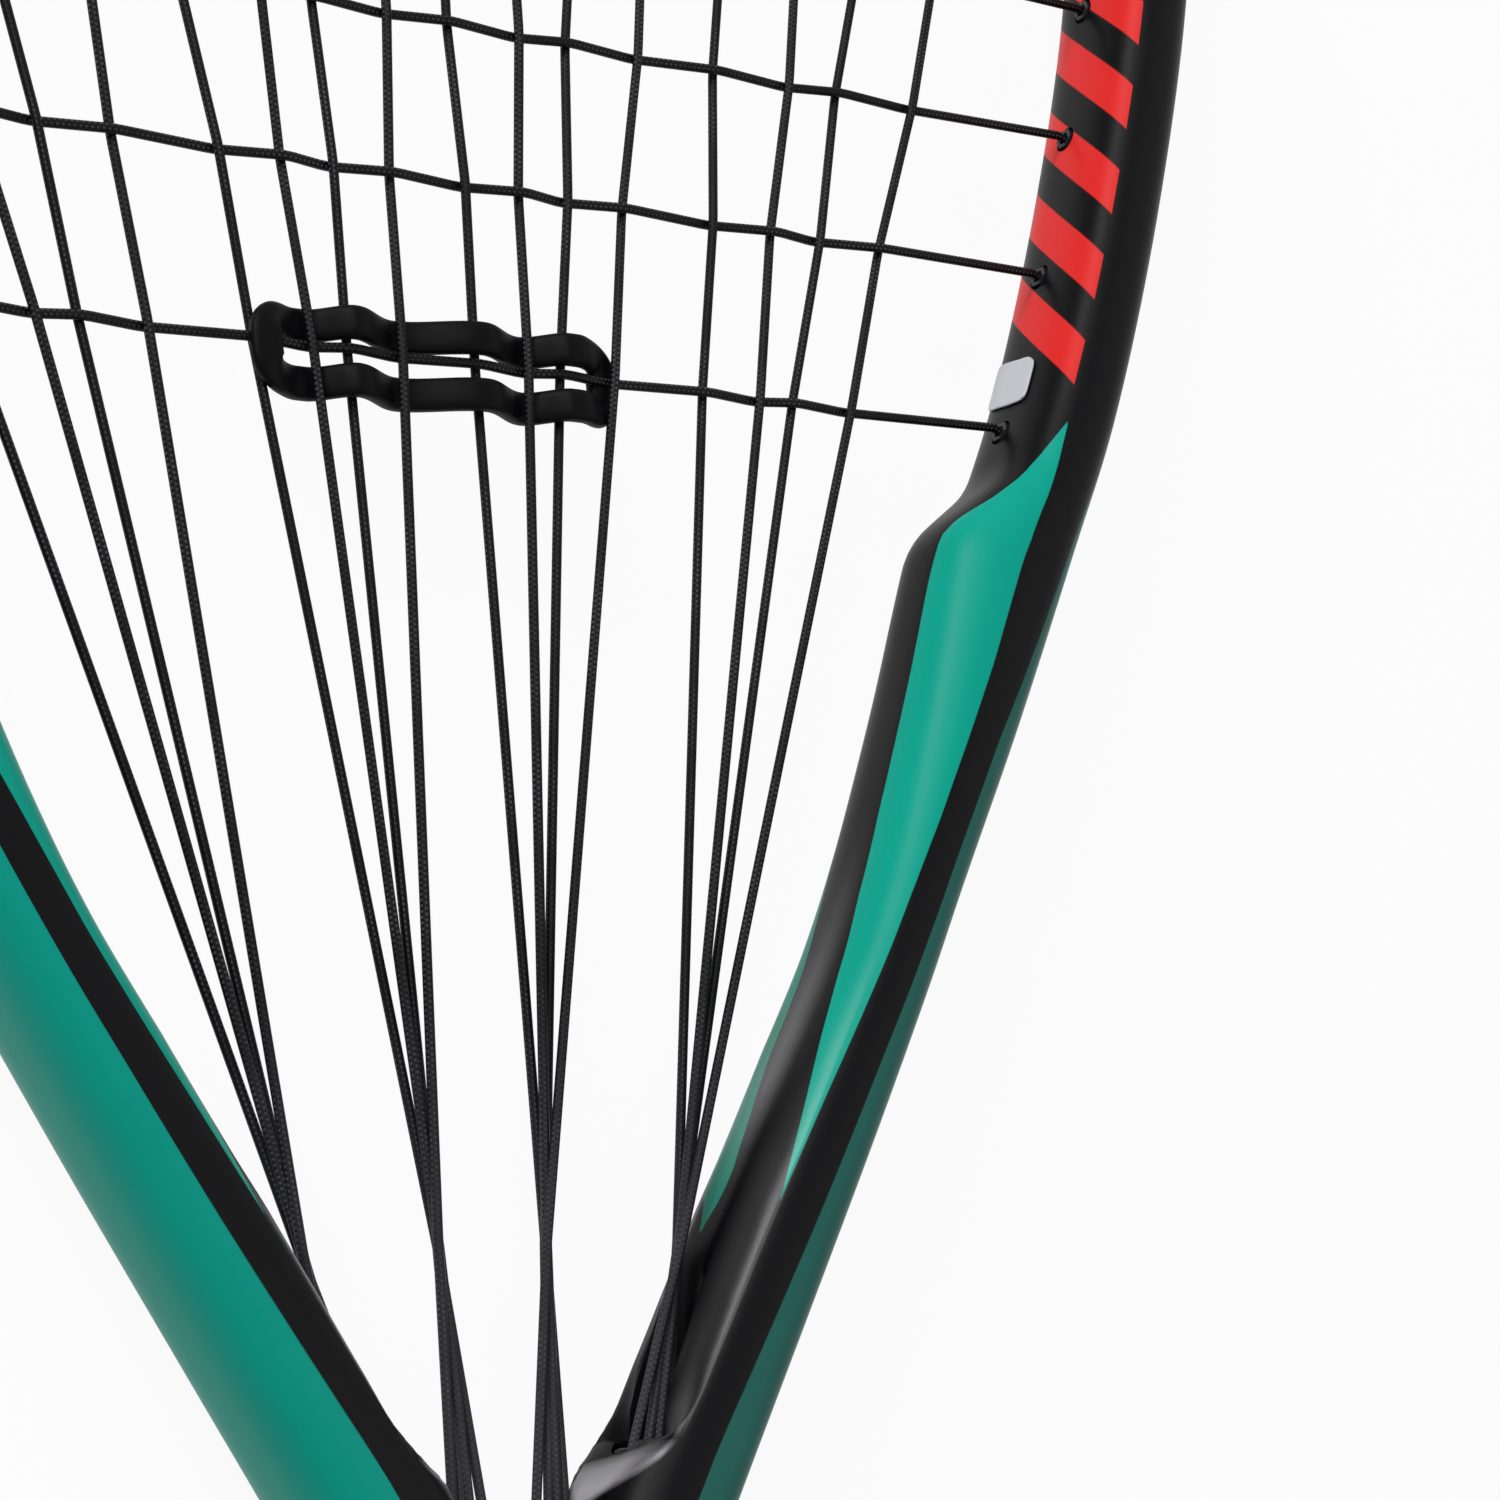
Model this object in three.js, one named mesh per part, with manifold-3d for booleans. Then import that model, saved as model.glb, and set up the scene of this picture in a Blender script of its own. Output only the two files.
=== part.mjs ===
// Racquetball racket: hairpin frame tube, fan string bed in four bundles, woven damper and wrapped grip.
// Millimetres. The racket lies flat: X across the head, Y from butt to tip, Z up, on the floor at Z = 0.
import * as THREE from "three";
import { mergeVertices } from "three/addons/utils/BufferGeometryUtils.js";
import Module from "manifold-3d";

const wasm = await Module();
wasm.setup();

// Whole racket
const racketLength = 558.8;
const clearance = 0.3;
const cutOverrun = 2;

// Frame tube: its spine runs from one shank round the head to the other shank
const headHalfWidth = 121.5;
const tipToWide = 112.8;
const headWideY = racketLength - tipToWide;
const headRoundExponent = 2.25;
const headRoundSteps = 10;
const tubeHalf = 6;
const tubeHeight = 20.5;
const shankHalf = 5;
const shankHeight = 18;
const shankSpread = 5.7;
const shankEndY = 24;
const sectionExponent = 2.7;
const sectionSides = 12;
const wideToThroat = 235.5;
const throatY = headWideY - wideToThroat;
const neckLength = 44.5;
const shankTopY = throatY - neckLength;

// Arm spine from the widest point down to the throat, as shares of the half width and of that drop
const armXShares = [0.9607, 0.879, 0.7798, 0.7024, 0.6006, 0.51, 0.4541, 0.3718, 0.2732];
const armYShares = [0.136, 0.284, 0.42, 0.501, 0.605, 0.692, 0.747, 0.824, 0.913];
const throatHalf = 21.43;
const neckXShares = [0.64, 0.41, 0.3];
const neckYShares = [0.31, 0.58, 0.82];
const shankShares = [0, 0.33, 0.67, 1];

// Raised inner rail of the arms: inner half widths as shares of the outer one, at shares of the drop
const innerRiseShares = [
  0, 0.0488, 0.1083, 0.1465, 0.1805, 0.2187, 0.2527, 0.2866, 0.3121, 0.3321, 0.3694, 0.4055, 0.4437,
  0.4803, 0.527,
];
const innerHalfShares = [
  1.708, 1.575, 1.467, 1.375, 1.283, 1.192, 1.125, 1.142, 1.217, 1.317, 1.542, 1.75, 1.992, 2.183, 1.133,
];
const neckInnerHalf = 9.4;
const innerEase = 2.5;
const easeShares = [-1, -0.5, 0, 0.5, 1];
const stationZones = [[0.541, 24], [0.467, 9], [0.2866, 9], [0, 5]];
const neckStations = 6;
const shankStations = 3;

// Outer groove of the head, its grommet strips and the bumper guard
const grooveDepth = 3;
const grooveHalf = 3;
const grooveMargin = 11;
const stripThickness = 1;
const stripHalf = 2.6;
const barrelRadius = 1.55;
const barrelBore = 0.95;
const barrelProud = 0.3;
const barrelSides = 6;
const stripSplitRow = 7;
const bumperThickness = 2;
const bumperPitch = 12;
const bumperHalf = 6.5;
const bumperBack = 4.9;
const bumperTaperShare = 0.6;
const bumperTaperPower = 6;
const bumperCrownShare = 0.7;
const tipSpineY = racketLength - tubeHalf - clearance - bumperThickness;
const stripGap = 1;
const stripPitch = 12.4;

// Strings
const stringRadius = 0.62;
const stringSides = 5;
const weaveLift = stringRadius + clearance / 2;
const laneShares = [-3, 1, -1, 3];
const holeLift = 0.9;
const wideToLowCross = 101;
const lowCrossY = headWideY - wideToLowCross;
const grooveEndY = lowCrossY - grooveMargin;
const firstCrossPitch = 23.3;
const pitchShares = [1, 0.915, 0.87, 0.83, 0.79, 0.74, 0.69, 0.63, 0.6, 0.58, 0.54];
const middleShares = [0.0436, 0.0996, 0.1424, 0.2016];
const outerShares = [0.3152, 0.3811, 0.4288, 0.4988];
const mouthRun = 1;
const tailLength = 7;
const loopPitch = 9.3;
const wallMargin = 2.5;
const loopSteps = 4;

// Throat saddle, pockets and their grommet inserts
const saddleDrop = 4.5;
const saddleFoot = 4;
const saddleTopY = throatY - saddleDrop;
const saddleBottomY = shankTopY + saddleFoot;
const saddleHalf = 13;
const saddleHeight = 17;
const saddleDip = 4;
const saddleBevel = 1.6;
const saddleSteps = 8;
const middleHoleX = 7.6;
const middleHolePitch = 1.9;
const outerHoleX = 21.5;
const outerHolePitch = 1.5;
const outerHoleRise = 3.5;
const outerHoleY = throatY + outerHoleRise;
const insertDepth = 5;
const loopDepth = 5.5;
const pocketDepth = 9;
const outerInsertRadius = 4.9;
const insertSides = 12;
const middleInsertHalf = 9.6;
const middleInsertHeight = 8.4;
const dishRun = 27;
const dishRadius = 6.4;
const laneRise = 8;
const laneLength = 32;
const laneLowY = outerHoleY + laneRise;
const laneHighY = laneLowY + laneLength;

// Damper woven through the mains round the lowest cross
const damperReach = 23.5;
const damperRail = 3.65;
const damperDrop = 0.5;
const damperWidth = 3.6;
const damperThickness = 2.4;
const damperSides = 8;
const damperRunSteps = 24;
const damperEndSteps = 8;
const damperEndExponent = 3;
const damperEndShare = 0.8;
const damperFallShare = 0.75;
const damperEndRun = 3.8;

// Handle
const gripHalfWidth = 15.5;
const gripHalfHeight = 13.7;
const gripCornerShare = 0.3;
const wrapThickness = 1.6;
const wrapStartY = 16;
const gripGap = 4;
const gripTopY = shankTopY - gripGap;
const collarLength = 14;
const collarThickness = 1.5;
const tapeLength = 12;
const tapeThickness = 0.6;
const slotHalfWidth = 11.1;
const slotHalfHeight = 9.3;
const capLength = 22;
const capFlare = 2.6;
const capFlareLength = 9;
const capFloor = 4.8;
const lanyardRadius = 3.5;
const lanyardSides = 12;
const lanyardY = 11;
const plugThickness = 2;
const plugHalfWidth = 6;
const plugHalfHeight = 4.5;
const stapleLength = 9;
const stapleWire = 1;

// Label on the inner wall of the head
const labelLength = 7.4;
const labelLow = -7.4;
const labelHigh = 1.3;
const labelThickness = 0.3;
const labelRise = 6.5;
const labelY = lowCrossY + labelRise;

// Closed loft through rings of equal point counts, with fan caps unless it closes on itself
function loft(rings, closed) {
  const n = rings[0].length;
  const positions = rings.flat().flatMap((p) => [p.x, p.y, p.z]);
  const index = [];
  const last = closed ? rings.length : rings.length - 1;
  for (let i = 0; i < last; i++) {
    const a = i * n;
    const b = ((i + 1) % rings.length) * n;
    for (let j = 0; j < n; j++) {
      const k = (j + 1) % n;
      index.push(a + j, a + k, b + k, a + j, b + k, b + j);
    }
  }
  if (!closed) {
    const end = (rings.length - 1) * n;
    for (let j = 1; j < n - 1; j++) {
      index.push(0, j + 1, j, end, end + j, end + j + 1);
    }
  }
  const geometry = new THREE.BufferGeometry();
  geometry.setAttribute("position", new THREE.Float32BufferAttribute(positions, 3));
  geometry.setIndex(index);
  return geometry;
}

// Geometry to solid, turned the right way out
function solid(geometry) {
  const bare = geometry.clone();
  for (const name of Object.keys(bare.attributes)) {
    if (name !== "position") bare.deleteAttribute(name);
  }
  const merged = mergeVertices(bare, 1e-4);
  const triVerts = new Uint32Array(merged.index.array);
  const make = () =>
    new wasm.Manifold(
      new wasm.Mesh({ numProp: 3, vertProperties: merged.attributes.position.array, triVerts }),
    );
  const first = make();
  if (first.volume() > 0) return first;
  for (let i = 0; i < triVerts.length; i += 3) {
    [triVerts[i + 1], triVerts[i + 2]] = [triVerts[i + 2], triVerts[i + 1]];
  }
  return make();
}

function geometryOf(body) {
  const mesh = body.getMesh();
  const geometry = new THREE.BufferGeometry();
  const positions = new Float32Array(mesh.numVert * 3);
  for (let i = 0; i < mesh.numVert; i++) {
    positions.set(mesh.vertProperties.subarray(i * mesh.numProp, i * mesh.numProp + 3), i * 3);
  }
  geometry.setAttribute("position", new THREE.BufferAttribute(positions, 3));
  geometry.setIndex(new THREE.BufferAttribute(mesh.triVerts, 1));
  const flat = geometry.toNonIndexed();
  flat.computeVertexNormals();
  return flat;
}

// Spine of the frame tube as a planar curve, right half from the tip down, then mirrored
function rightSpine() {
  const points = [];
  const rise = tipSpineY - headWideY;
  const power = 2 / headRoundExponent;
  for (let i = 0; i < headRoundSteps; i++) {
    const angle = (Math.PI / 2) * (i / headRoundSteps);
    const x = headHalfWidth * Math.sin(angle) ** power;
    points.push(new THREE.Vector3(x, headWideY + rise * Math.cos(angle) ** power, 0));
  }
  points.push(new THREE.Vector3(headHalfWidth, headWideY, 0));
  const drop = headWideY - throatY;
  armXShares.forEach((share, i) => {
    points.push(new THREE.Vector3(headHalfWidth * share, headWideY - drop * armYShares[i], 0));
  });
  points.push(new THREE.Vector3(throatHalf, throatY, 0));
  const neck = throatY - shankTopY;
  neckXShares.forEach((share, i) => {
    points.push(new THREE.Vector3(throatHalf * share, throatY - neck * neckYShares[i], 0));
  });
  const shank = shankTopY - shankEndY;
  for (const share of shankShares) {
    points.push(new THREE.Vector3(shankSpread, shankTopY - shank * share, 0));
  }
  return points;
}

const halfPoints = rightSpine();
const mirrored = halfPoints.slice(1).map((p) => new THREE.Vector3(-p.x, p.y, p.z));
const spine = new THREE.CatmullRomCurve3([...halfPoints.slice().reverse(), ...mirrored], false, "centripetal");
spine.arcLengthDivisions = 4000;
const spineLength = spine.getLength();

// Frame at signed distance s along the spine from the tip, positive to the right
function spineFrame(s) {
  const u = THREE.MathUtils.clamp(0.5 - s / spineLength, 0, 1);
  const point = spine.getPointAt(u);
  const tangent = spine.getTangentAt(u);
  const outward = new THREE.Vector3(-tangent.y, tangent.x, 0).negate();
  return { point, outward: outward.normalize() };
}

// Height that lies at a share of the drop between the throat and the widest point
const riseY = (share) => throatY + wideToThroat * share;

const innerStops = [
  [shankTopY, shankHalf],
  [(throatY + shankTopY) / 2, neckInnerHalf],
  ...innerRiseShares.map((share, i) => [riseY(share), tubeHalf * innerHalfShares[i]]),
];

// Inner half width of the tube at a height along the racket, with its corners eased
function innerHalf(y) {
  const sum = easeShares.reduce((total, share) => total + onLine(innerStops, y + innerEase * share), 0);
  return sum / easeShares.length;
}

function outerHalf(y) {
  return stepped([[shankTopY, shankHalf], [throatY, tubeHalf]], y);
}

function tubeHeightAt(y) {
  return stepped([[shankTopY, shankHeight], [throatY, tubeHeight]], y);
}

// Smooth interpolation between sorted stops
function stepped(stops, y) {
  return between(stops, y, (low, high) => THREE.MathUtils.smoothstep(y, low, high));
}

function onLine(stops, y) {
  return between(stops, y, (low, high) => (y - low) / (high - low));
}

// Value at y between sorted stops, by the share of its span that a function gives
function between(stops, y, shareOf) {
  if (y <= stops[0][0]) return stops[0][1];
  for (let i = 1; i < stops.length; i++) {
    const [y0, v0] = stops[i - 1];
    const [y1, v1] = stops[i];
    if (y <= y1) return v0 + (v1 - v0) * shareOf(y0, y1);
  }
  return stops[stops.length - 1][1];
}

// Point at distance u outward from the spine and height z
function beside(s, u, z) {
  const { point, outward } = spineFrame(s);
  return point.clone().addScaledVector(outward, u).add(new THREE.Vector3(0, 0, z));
}

function wallPoint(s, side, z) {
  const y = spineFrame(s).point.y;
  return beside(s, side > 0 ? outerHalf(y) : -innerHalf(y), z);
}

// Rounded tube section at s
function tubeRing(s) {
  const { point, outward } = spineFrame(s);
  const power = 2 / sectionExponent;
  const ring = [];
  for (let j = 0; j < sectionSides; j++) {
    const angle = (2 * Math.PI * (j + 0.5)) / sectionSides;
    const c = Math.cos(angle);
    const d = Math.sin(angle);
    const half = c > 0 ? outerHalf(point.y) : innerHalf(point.y);
    const u = half * Math.sign(c) * Math.abs(c) ** power;
    const z = (tubeHeightAt(point.y) / 2) * Math.sign(d) * Math.abs(d) ** power;
    ring.push(point.clone().addScaledVector(outward, u).add(new THREE.Vector3(0, 0, z)));
  }
  return ring;
}

// Distance along the right spine at which its centre has come down to y
function distanceAtY(y) {
  return search((s) => spineFrame(s).point.y - y, 0, spineLength / 2);
}

// First root of f between two distances, by stepping and halving
function search(f, from, to) {
  const steps = 400;
  let a = from;
  let fa = f(a);
  for (let i = 1; i <= steps; i++) {
    const b = from + ((to - from) * i) / steps;
    const fb = f(b);
    if (fa * fb <= 0) {
      let low = a;
      let high = b;
      for (let k = 0; k < 30; k++) {
        const middle = (low + high) / 2;
        if (f(middle) * fa > 0) low = middle;
        else high = middle;
      }
      return (low + high) / 2;
    }
    a = b;
    fa = fb;
  }
  return to;
}

// Stations of the frame tube from the tip down, closer along the rail step and the throat
function tubeStations() {
  const zones = [
    ...stationZones.map(([share, count]) => [distanceAtY(riseY(share)), count]),
    [distanceAtY(shankTopY), neckStations],
    [spineLength / 2, shankStations],
  ];
  const stations = [0];
  let from = 0;
  for (const [to, count] of zones) {
    for (let i = 1; i <= count; i++) stations.push(from + ((to - from) * i) / count);
    from = to;
  }
  return stations;
}

// Cord through points with parallel-transported rings
function cordGeometry(points, radius, sides) {
  const rings = [];
  const start = points[1].clone().sub(points[0]).normalize();
  const normal = Math.abs(start.z) < 0.9 ? new THREE.Vector3(0, 0, 1) : new THREE.Vector3(1, 0, 0);
  points.forEach((point, i) => {
    const before = points[Math.max(i - 1, 0)];
    const after = points[Math.min(i + 1, points.length - 1)];
    const into = point.clone().sub(before).normalize();
    const out = after.clone().sub(point).normalize();
    const tangent = into.add(out).normalize();
    normal.addScaledVector(tangent, -normal.dot(tangent)).normalize();
    const side = new THREE.Vector3().crossVectors(tangent, normal);
    const ring = [];
    for (let j = 0; j < sides; j++) {
      const angle = (2 * Math.PI * j) / sides;
      ring.push(
        point
          .clone()
          .addScaledVector(normal, radius * Math.cos(angle))
          .addScaledVector(side, radius * Math.sin(angle)),
      );
    }
    rings.push(ring);
  });
  return loft(rings, false);
}

// Straight round bar between two points
function bar(from, to, radius, sides) {
  return solid(cordGeometry([from, to], radius, sides));
}

const vector = (x, y, z) => new THREE.Vector3(x, y, z);

// Heights of the twelve cross strings
function crossHeights() {
  const heights = [lowCrossY];
  for (const share of pitchShares) heights.push(heights[heights.length - 1] + firstCrossPitch * share);
  return heights;
}

// Right half of the sixteen mains: their throat hole, slope and place on the head
function rightMains() {
  const mains = [];
  const add = (share, i, holeX, pitch, holeY, number) => {
    const hole = vector(holeX - pitch * i, holeY, laneShares[i] * weaveLift);
    const slope = (headHalfWidth * share - hole.x) / (lowCrossY - holeY);
    const at = (y) => hole.x + slope * (y - holeY);
    const reach = distanceAtY(lowCrossY);
    const distance = search(
      (s) => {
        const wall = wallPoint(s, -1, 0);
        return wall.x - at(wall.y);
      },
      0,
      reach,
    );
    mains.push({ number, hole, slope, at, distance });
  };
  middleShares.forEach((share, i) => {
    add(share, i, middleHoleX, middleHolePitch, saddleTopY, 9 + i);
  });
  outerShares.forEach((share, i) => {
    add(share, i, outerHoleX, outerHolePitch, outerHoleY, 13 + i);
  });
  return mains;
}

const crosses = crossHeights();
const mainsRight = rightMains();

// Mirror image of a main: left and right strings lie on opposite sides of every cross
function mirrorMain(main) {
  return {
    number: 17 - main.number,
    hole: vector(-main.hole.x, main.hole.y, -main.hole.z),
    slope: -main.slope,
    at: (y) => -main.at(y),
    distance: -main.distance,
  };
}

const mains = [...mainsRight.map(mirrorMain), ...mainsRight].sort((a, b) => a.number - b.number);

const crossDistances = crosses.map((y) =>
  search((s) => wallPoint(s, -1, 0).y - y, 0, distanceAtY(lowCrossY - firstCrossPitch)),
);

const mainInFront = (main, row) => ((main.number + row) % 2 === 0 ? 1 : -1);

function meets(main, row) {
  return crosses[row] < wallPoint(main.distance, -1, 0).y - wallMargin;
}

// One main from the loop behind its throat hole up to the outer groove of the head
function mainRun(main) {
  const down = vector(-main.slope, -1, 0).normalize();
  const points = [main.hole.clone().addScaledVector(down, insertDepth + loopDepth / 2), main.hole.clone()];
  points.push(vector(main.at(laneLowY), laneLowY, main.hole.z));
  points.push(vector(main.at(laneHighY), laneHighY, main.hole.z));
  crosses.forEach((y, row) => {
    if (meets(main, row)) points.push(vector(main.at(y), y, mainInFront(main, row) * weaveLift));
  });
  return [...points, ...headEnd(main.distance, holeLift)];
}

// Last points of a string: bend at the barrel's mouth, then out to the groove
function headEnd(distance, z) {
  const inner = innerHalf(spineFrame(distance).point.y) + barrelProud + mouthRun;
  return [beside(distance, -inner, z), beside(distance, -inner + mouthRun, z), beside(distance, loopLine, z)];
}

const stripTop = tubeHalf - grooveDepth + clearance + stripThickness;
const loopLine = stripTop + clearance + stringRadius;

// Points along the groove between two holes, without its ends
function grooveLoop(from, to, z) {
  const count = Math.max(2, Math.round(Math.abs(to - from) / loopPitch));
  const points = [];
  for (let i = 1; i < count; i++) points.push(beside(from + ((to - from) * i) / count, loopLine, z));
  return points;
}

// Half circle behind the throat insert between two neighbouring mains
function throatLoop(from, to) {
  const start = from[0];
  const end = to[0];
  const middle = start.clone().add(end).multiplyScalar(0.5);
  const span = end.clone().sub(start).multiplyScalar(0.5);
  const down = start.clone().sub(from[1]).normalize();
  const points = [];
  for (let i = 1; i < loopSteps; i++) {
    const angle = (Math.PI * i) / loopSteps;
    points.push(
      middle
        .clone()
        .addScaledVector(span, -Math.cos(angle))
        .addScaledVector(down, span.length() * Math.sin(angle)),
    );
  }
  return points;
}

// The continuous main string, tied off at the outermost mains of the head
function mainStringPoints() {
  const runs = mains.map(mainRun);
  const first = mains[0].distance;
  const last = mains[mains.length - 1].distance;
  const tail = (s, sign) => beside(s + sign * tailLength, loopLine, holeLift);
  const points = [tail(first, 1)];
  for (let i = 0; i < mains.length; i += 2) {
    points.push(...runs[i].slice().reverse(), ...throatLoop(runs[i], runs[i + 1]), ...runs[i + 1]);
    if (i + 2 < mains.length) {
      points.push(...grooveLoop(mains[i + 1].distance, mains[i + 2].distance, holeLift));
    }
  }
  points.push(tail(last, -1));
  return points;
}

// The continuous cross string, woven from the lowest row up
function crossStringPoints() {
  const points = [beside(-crossDistances[0] + tailLength, loopLine, -holeLift)];
  crosses.forEach((y, row) => {
    const s = crossDistances[row];
    const middle = mains
      .filter((main) => meets(main, row))
      .map((main) => vector(main.at(y), y, -mainInFront(main, row) * weaveLift));
    const left = headEnd(-s, -holeLift);
    const right = headEnd(s, -holeLift);
    const run = [...left.reverse(), ...middle, ...right];
    const sign = row % 2 === 0 ? 1 : -1;
    points.push(...(sign > 0 ? run : run.reverse()));
    if (row + 1 < crosses.length) {
      points.push(...grooveLoop(sign * s, sign * crossDistances[row + 1], -holeLift));
    }
  });
  points.push(beside(-crossDistances[crosses.length - 1] + tailLength, loopLine, -holeLift));
  return points;
}

// Every string hole of the head, by its distance along the spine and its height
function headHoles() {
  const holes = mains.map((main) => ({ distance: main.distance, z: holeLift }));
  for (const s of crossDistances) {
    holes.push({ distance: s, z: -holeLift }, { distance: -s, z: -holeLift });
  }
  return holes;
}

const holes = headHoles();

// The bumper guard ends over the last main's tail, the tip's strip between two crosses
const bumperReach = mains[mains.length - 1].distance - bumperBack;
const tipStripReach = (crossDistances[stripSplitRow - 1] + crossDistances[stripSplitRow]) / 2;

// Bar along a head hole, between two distances outward from the spine
function holeBar(hole, from, to, radius) {
  return bar(
    beside(hole.distance, from, hole.z),
    beside(hole.distance, to, hole.z),
    radius,
    barrelSides,
  );
}

// Strip of four-sided section swept along the outer side of the head
function outerStrip(from, to, low, high, half) {
  const count = Math.max(2, Math.round((to - from) / stripPitch));
  const rings = [];
  for (let i = 0; i <= count; i++) {
    const s = from + ((to - from) * i) / count;
    rings.push([
      beside(s, low, -half),
      beside(s, high, -half),
      beside(s, high, half),
      beside(s, low, half),
    ]);
  }
  return solid(loft(rings, false));
}

// Throat insert seats, drilled along the direction in which their bundle arrives
const outerBundle = mainsRight.slice(4);
const outerSeat = vector(outerHoleX - (outerHolePitch * (laneShares.length - 1)) / 2, outerHoleY, 0);
const outerDown = vector(
  -outerBundle.reduce((sum, main) => sum + main.slope, 0) / outerBundle.length,
  -1,
  0,
).normalize();

const mirrorX = (p, side) => vector(p.x * side, p.y, p.z);

function outerPocket(side) {
  const seat = mirrorX(outerSeat, side);
  const down = mirrorX(outerDown, side);
  const top = seat.clone().addScaledVector(down, -dishRun);
  const end = seat.clone().addScaledVector(down, insertDepth + pocketDepth);
  const dish = bar(seat, top, dishRadius, insertSides);
  const start = seat.clone().addScaledVector(down, -cutOverrun);
  return bar(start, end, outerInsertRadius + clearance, insertSides).add(dish);
}

function stringBore(main) {
  const down = vector(-main.slope, -1, 0).normalize();
  return bar(
    main.hole.clone().addScaledVector(down, -cutOverrun),
    main.hole.clone().addScaledVector(down, insertDepth + cutOverrun),
    barrelBore,
    barrelSides,
  );
}

function outerInsert(side) {
  const seat = mirrorX(outerSeat, side);
  const down = mirrorX(outerDown, side);
  const end = seat.clone().addScaledVector(down, insertDepth);
  let plug = bar(seat, end, outerInsertRadius, insertSides);
  for (const main of mains.slice(side > 0 ? 12 : 0, side > 0 ? 16 : 4)) plug = plug.subtract(stringBore(main));
  return plug;
}

function block(width, length, height, x, y, z) {
  const box = new THREE.BoxGeometry(width, length, height);
  box.translate(x, y, z);
  return solid(box);
}

function middlePocket() {
  const depth = insertDepth + pocketDepth;
  return block(
    2 * (middleInsertHalf + clearance),
    depth + cutOverrun + saddleDip,
    middleInsertHeight + 2 * clearance,
    0,
    saddleTopY - depth + (depth + cutOverrun + saddleDip) / 2,
    0,
  );
}

function middleInsert() {
  let plate = block(2 * middleInsertHalf, insertDepth, middleInsertHeight, 0, saddleTopY - insertDepth / 2, 0);
  for (const main of mains.slice(4, 12)) plate = plate.subtract(stringBore(main));
  return plate;
}

// Saddle that joins the arms at the bottom of the V
function saddle() {
  const shape = new THREE.Shape();
  shape.moveTo(-saddleHalf, saddleBottomY);
  shape.lineTo(saddleHalf, saddleBottomY);
  shape.lineTo(saddleHalf, saddleTopY + saddleDip);
  shape.quadraticCurveTo(0, saddleTopY - saddleDip, -saddleHalf, saddleTopY + saddleDip);
  const extruded = new THREE.ExtrudeGeometry(shape, {
    depth: saddleHeight - 2 * saddleBevel,
    bevelSize: saddleBevel,
    bevelThickness: saddleBevel,
    bevelOffset: -saddleBevel,
    bevelSegments: 1,
    curveSegments: saddleSteps,
  });
  extruded.translate(0, 0, -saddleHeight / 2 + saddleBevel);
  return solid(extruded);
}

function frameTube() {
  const half = tubeStations();
  const all = [...half.slice(1).map((s) => -s).reverse(), ...half];
  let tube = solid(loft(all.map(tubeRing), false)).add(saddle());
  const reach = distanceAtY(grooveEndY);
  tube = tube.subtract(outerStrip(-reach, reach, tubeHalf - grooveDepth, tubeHalf + cutOverrun, grooveHalf));
  for (const hole of holes) {
    const inner = innerHalf(spineFrame(hole.distance).point.y);
    tube = tube.subtract(holeBar(hole, -inner - cutOverrun, tubeHalf, barrelRadius + clearance));
  }
  return tube.subtract(outerPocket(1)).subtract(outerPocket(-1)).subtract(middlePocket());
}

// Grommet strip between two distances, with a barrel through the tube at each of its holes
function grommetStrip(from, to) {
  const low = tubeHalf - grooveDepth + clearance;
  let strip = outerStrip(from, to, low, stripTop, stripHalf);
  const own = holes.filter((hole) => hole.distance > from && hole.distance < to);
  for (const hole of own) {
    const inner = innerHalf(spineFrame(hole.distance).point.y) + barrelProud;
    strip = strip.add(holeBar(hole, -inner, stripTop - stripThickness / 2, barrelRadius));
  }
  for (const hole of own) {
    const inner = innerHalf(spineFrame(hole.distance).point.y) + barrelProud;
    strip = strip.subtract(holeBar(hole, -inner - cutOverrun, stripTop + cutOverrun, barrelBore));
  }
  return strip;
}

function bumperGuard() {
  const low = tubeHalf + clearance;
  const count = 2 * Math.round(bumperReach / bumperPitch);
  const rings = [];
  for (let i = 0; i <= count; i++) {
    const s = -bumperReach + (2 * bumperReach * i) / count;
    const taper = bumperTaperShare * Math.abs(s / bumperReach) ** bumperTaperPower;
    const high = low + bumperThickness * (1 - taper);
    const crown = bumperHalf * bumperCrownShare;
    rings.push([
      beside(s, low, -bumperHalf),
      beside(s, high, -crown),
      beside(s, high, crown),
      beside(s, low, bumperHalf),
    ]);
  }
  return solid(loft(rings, false));
}

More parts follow.
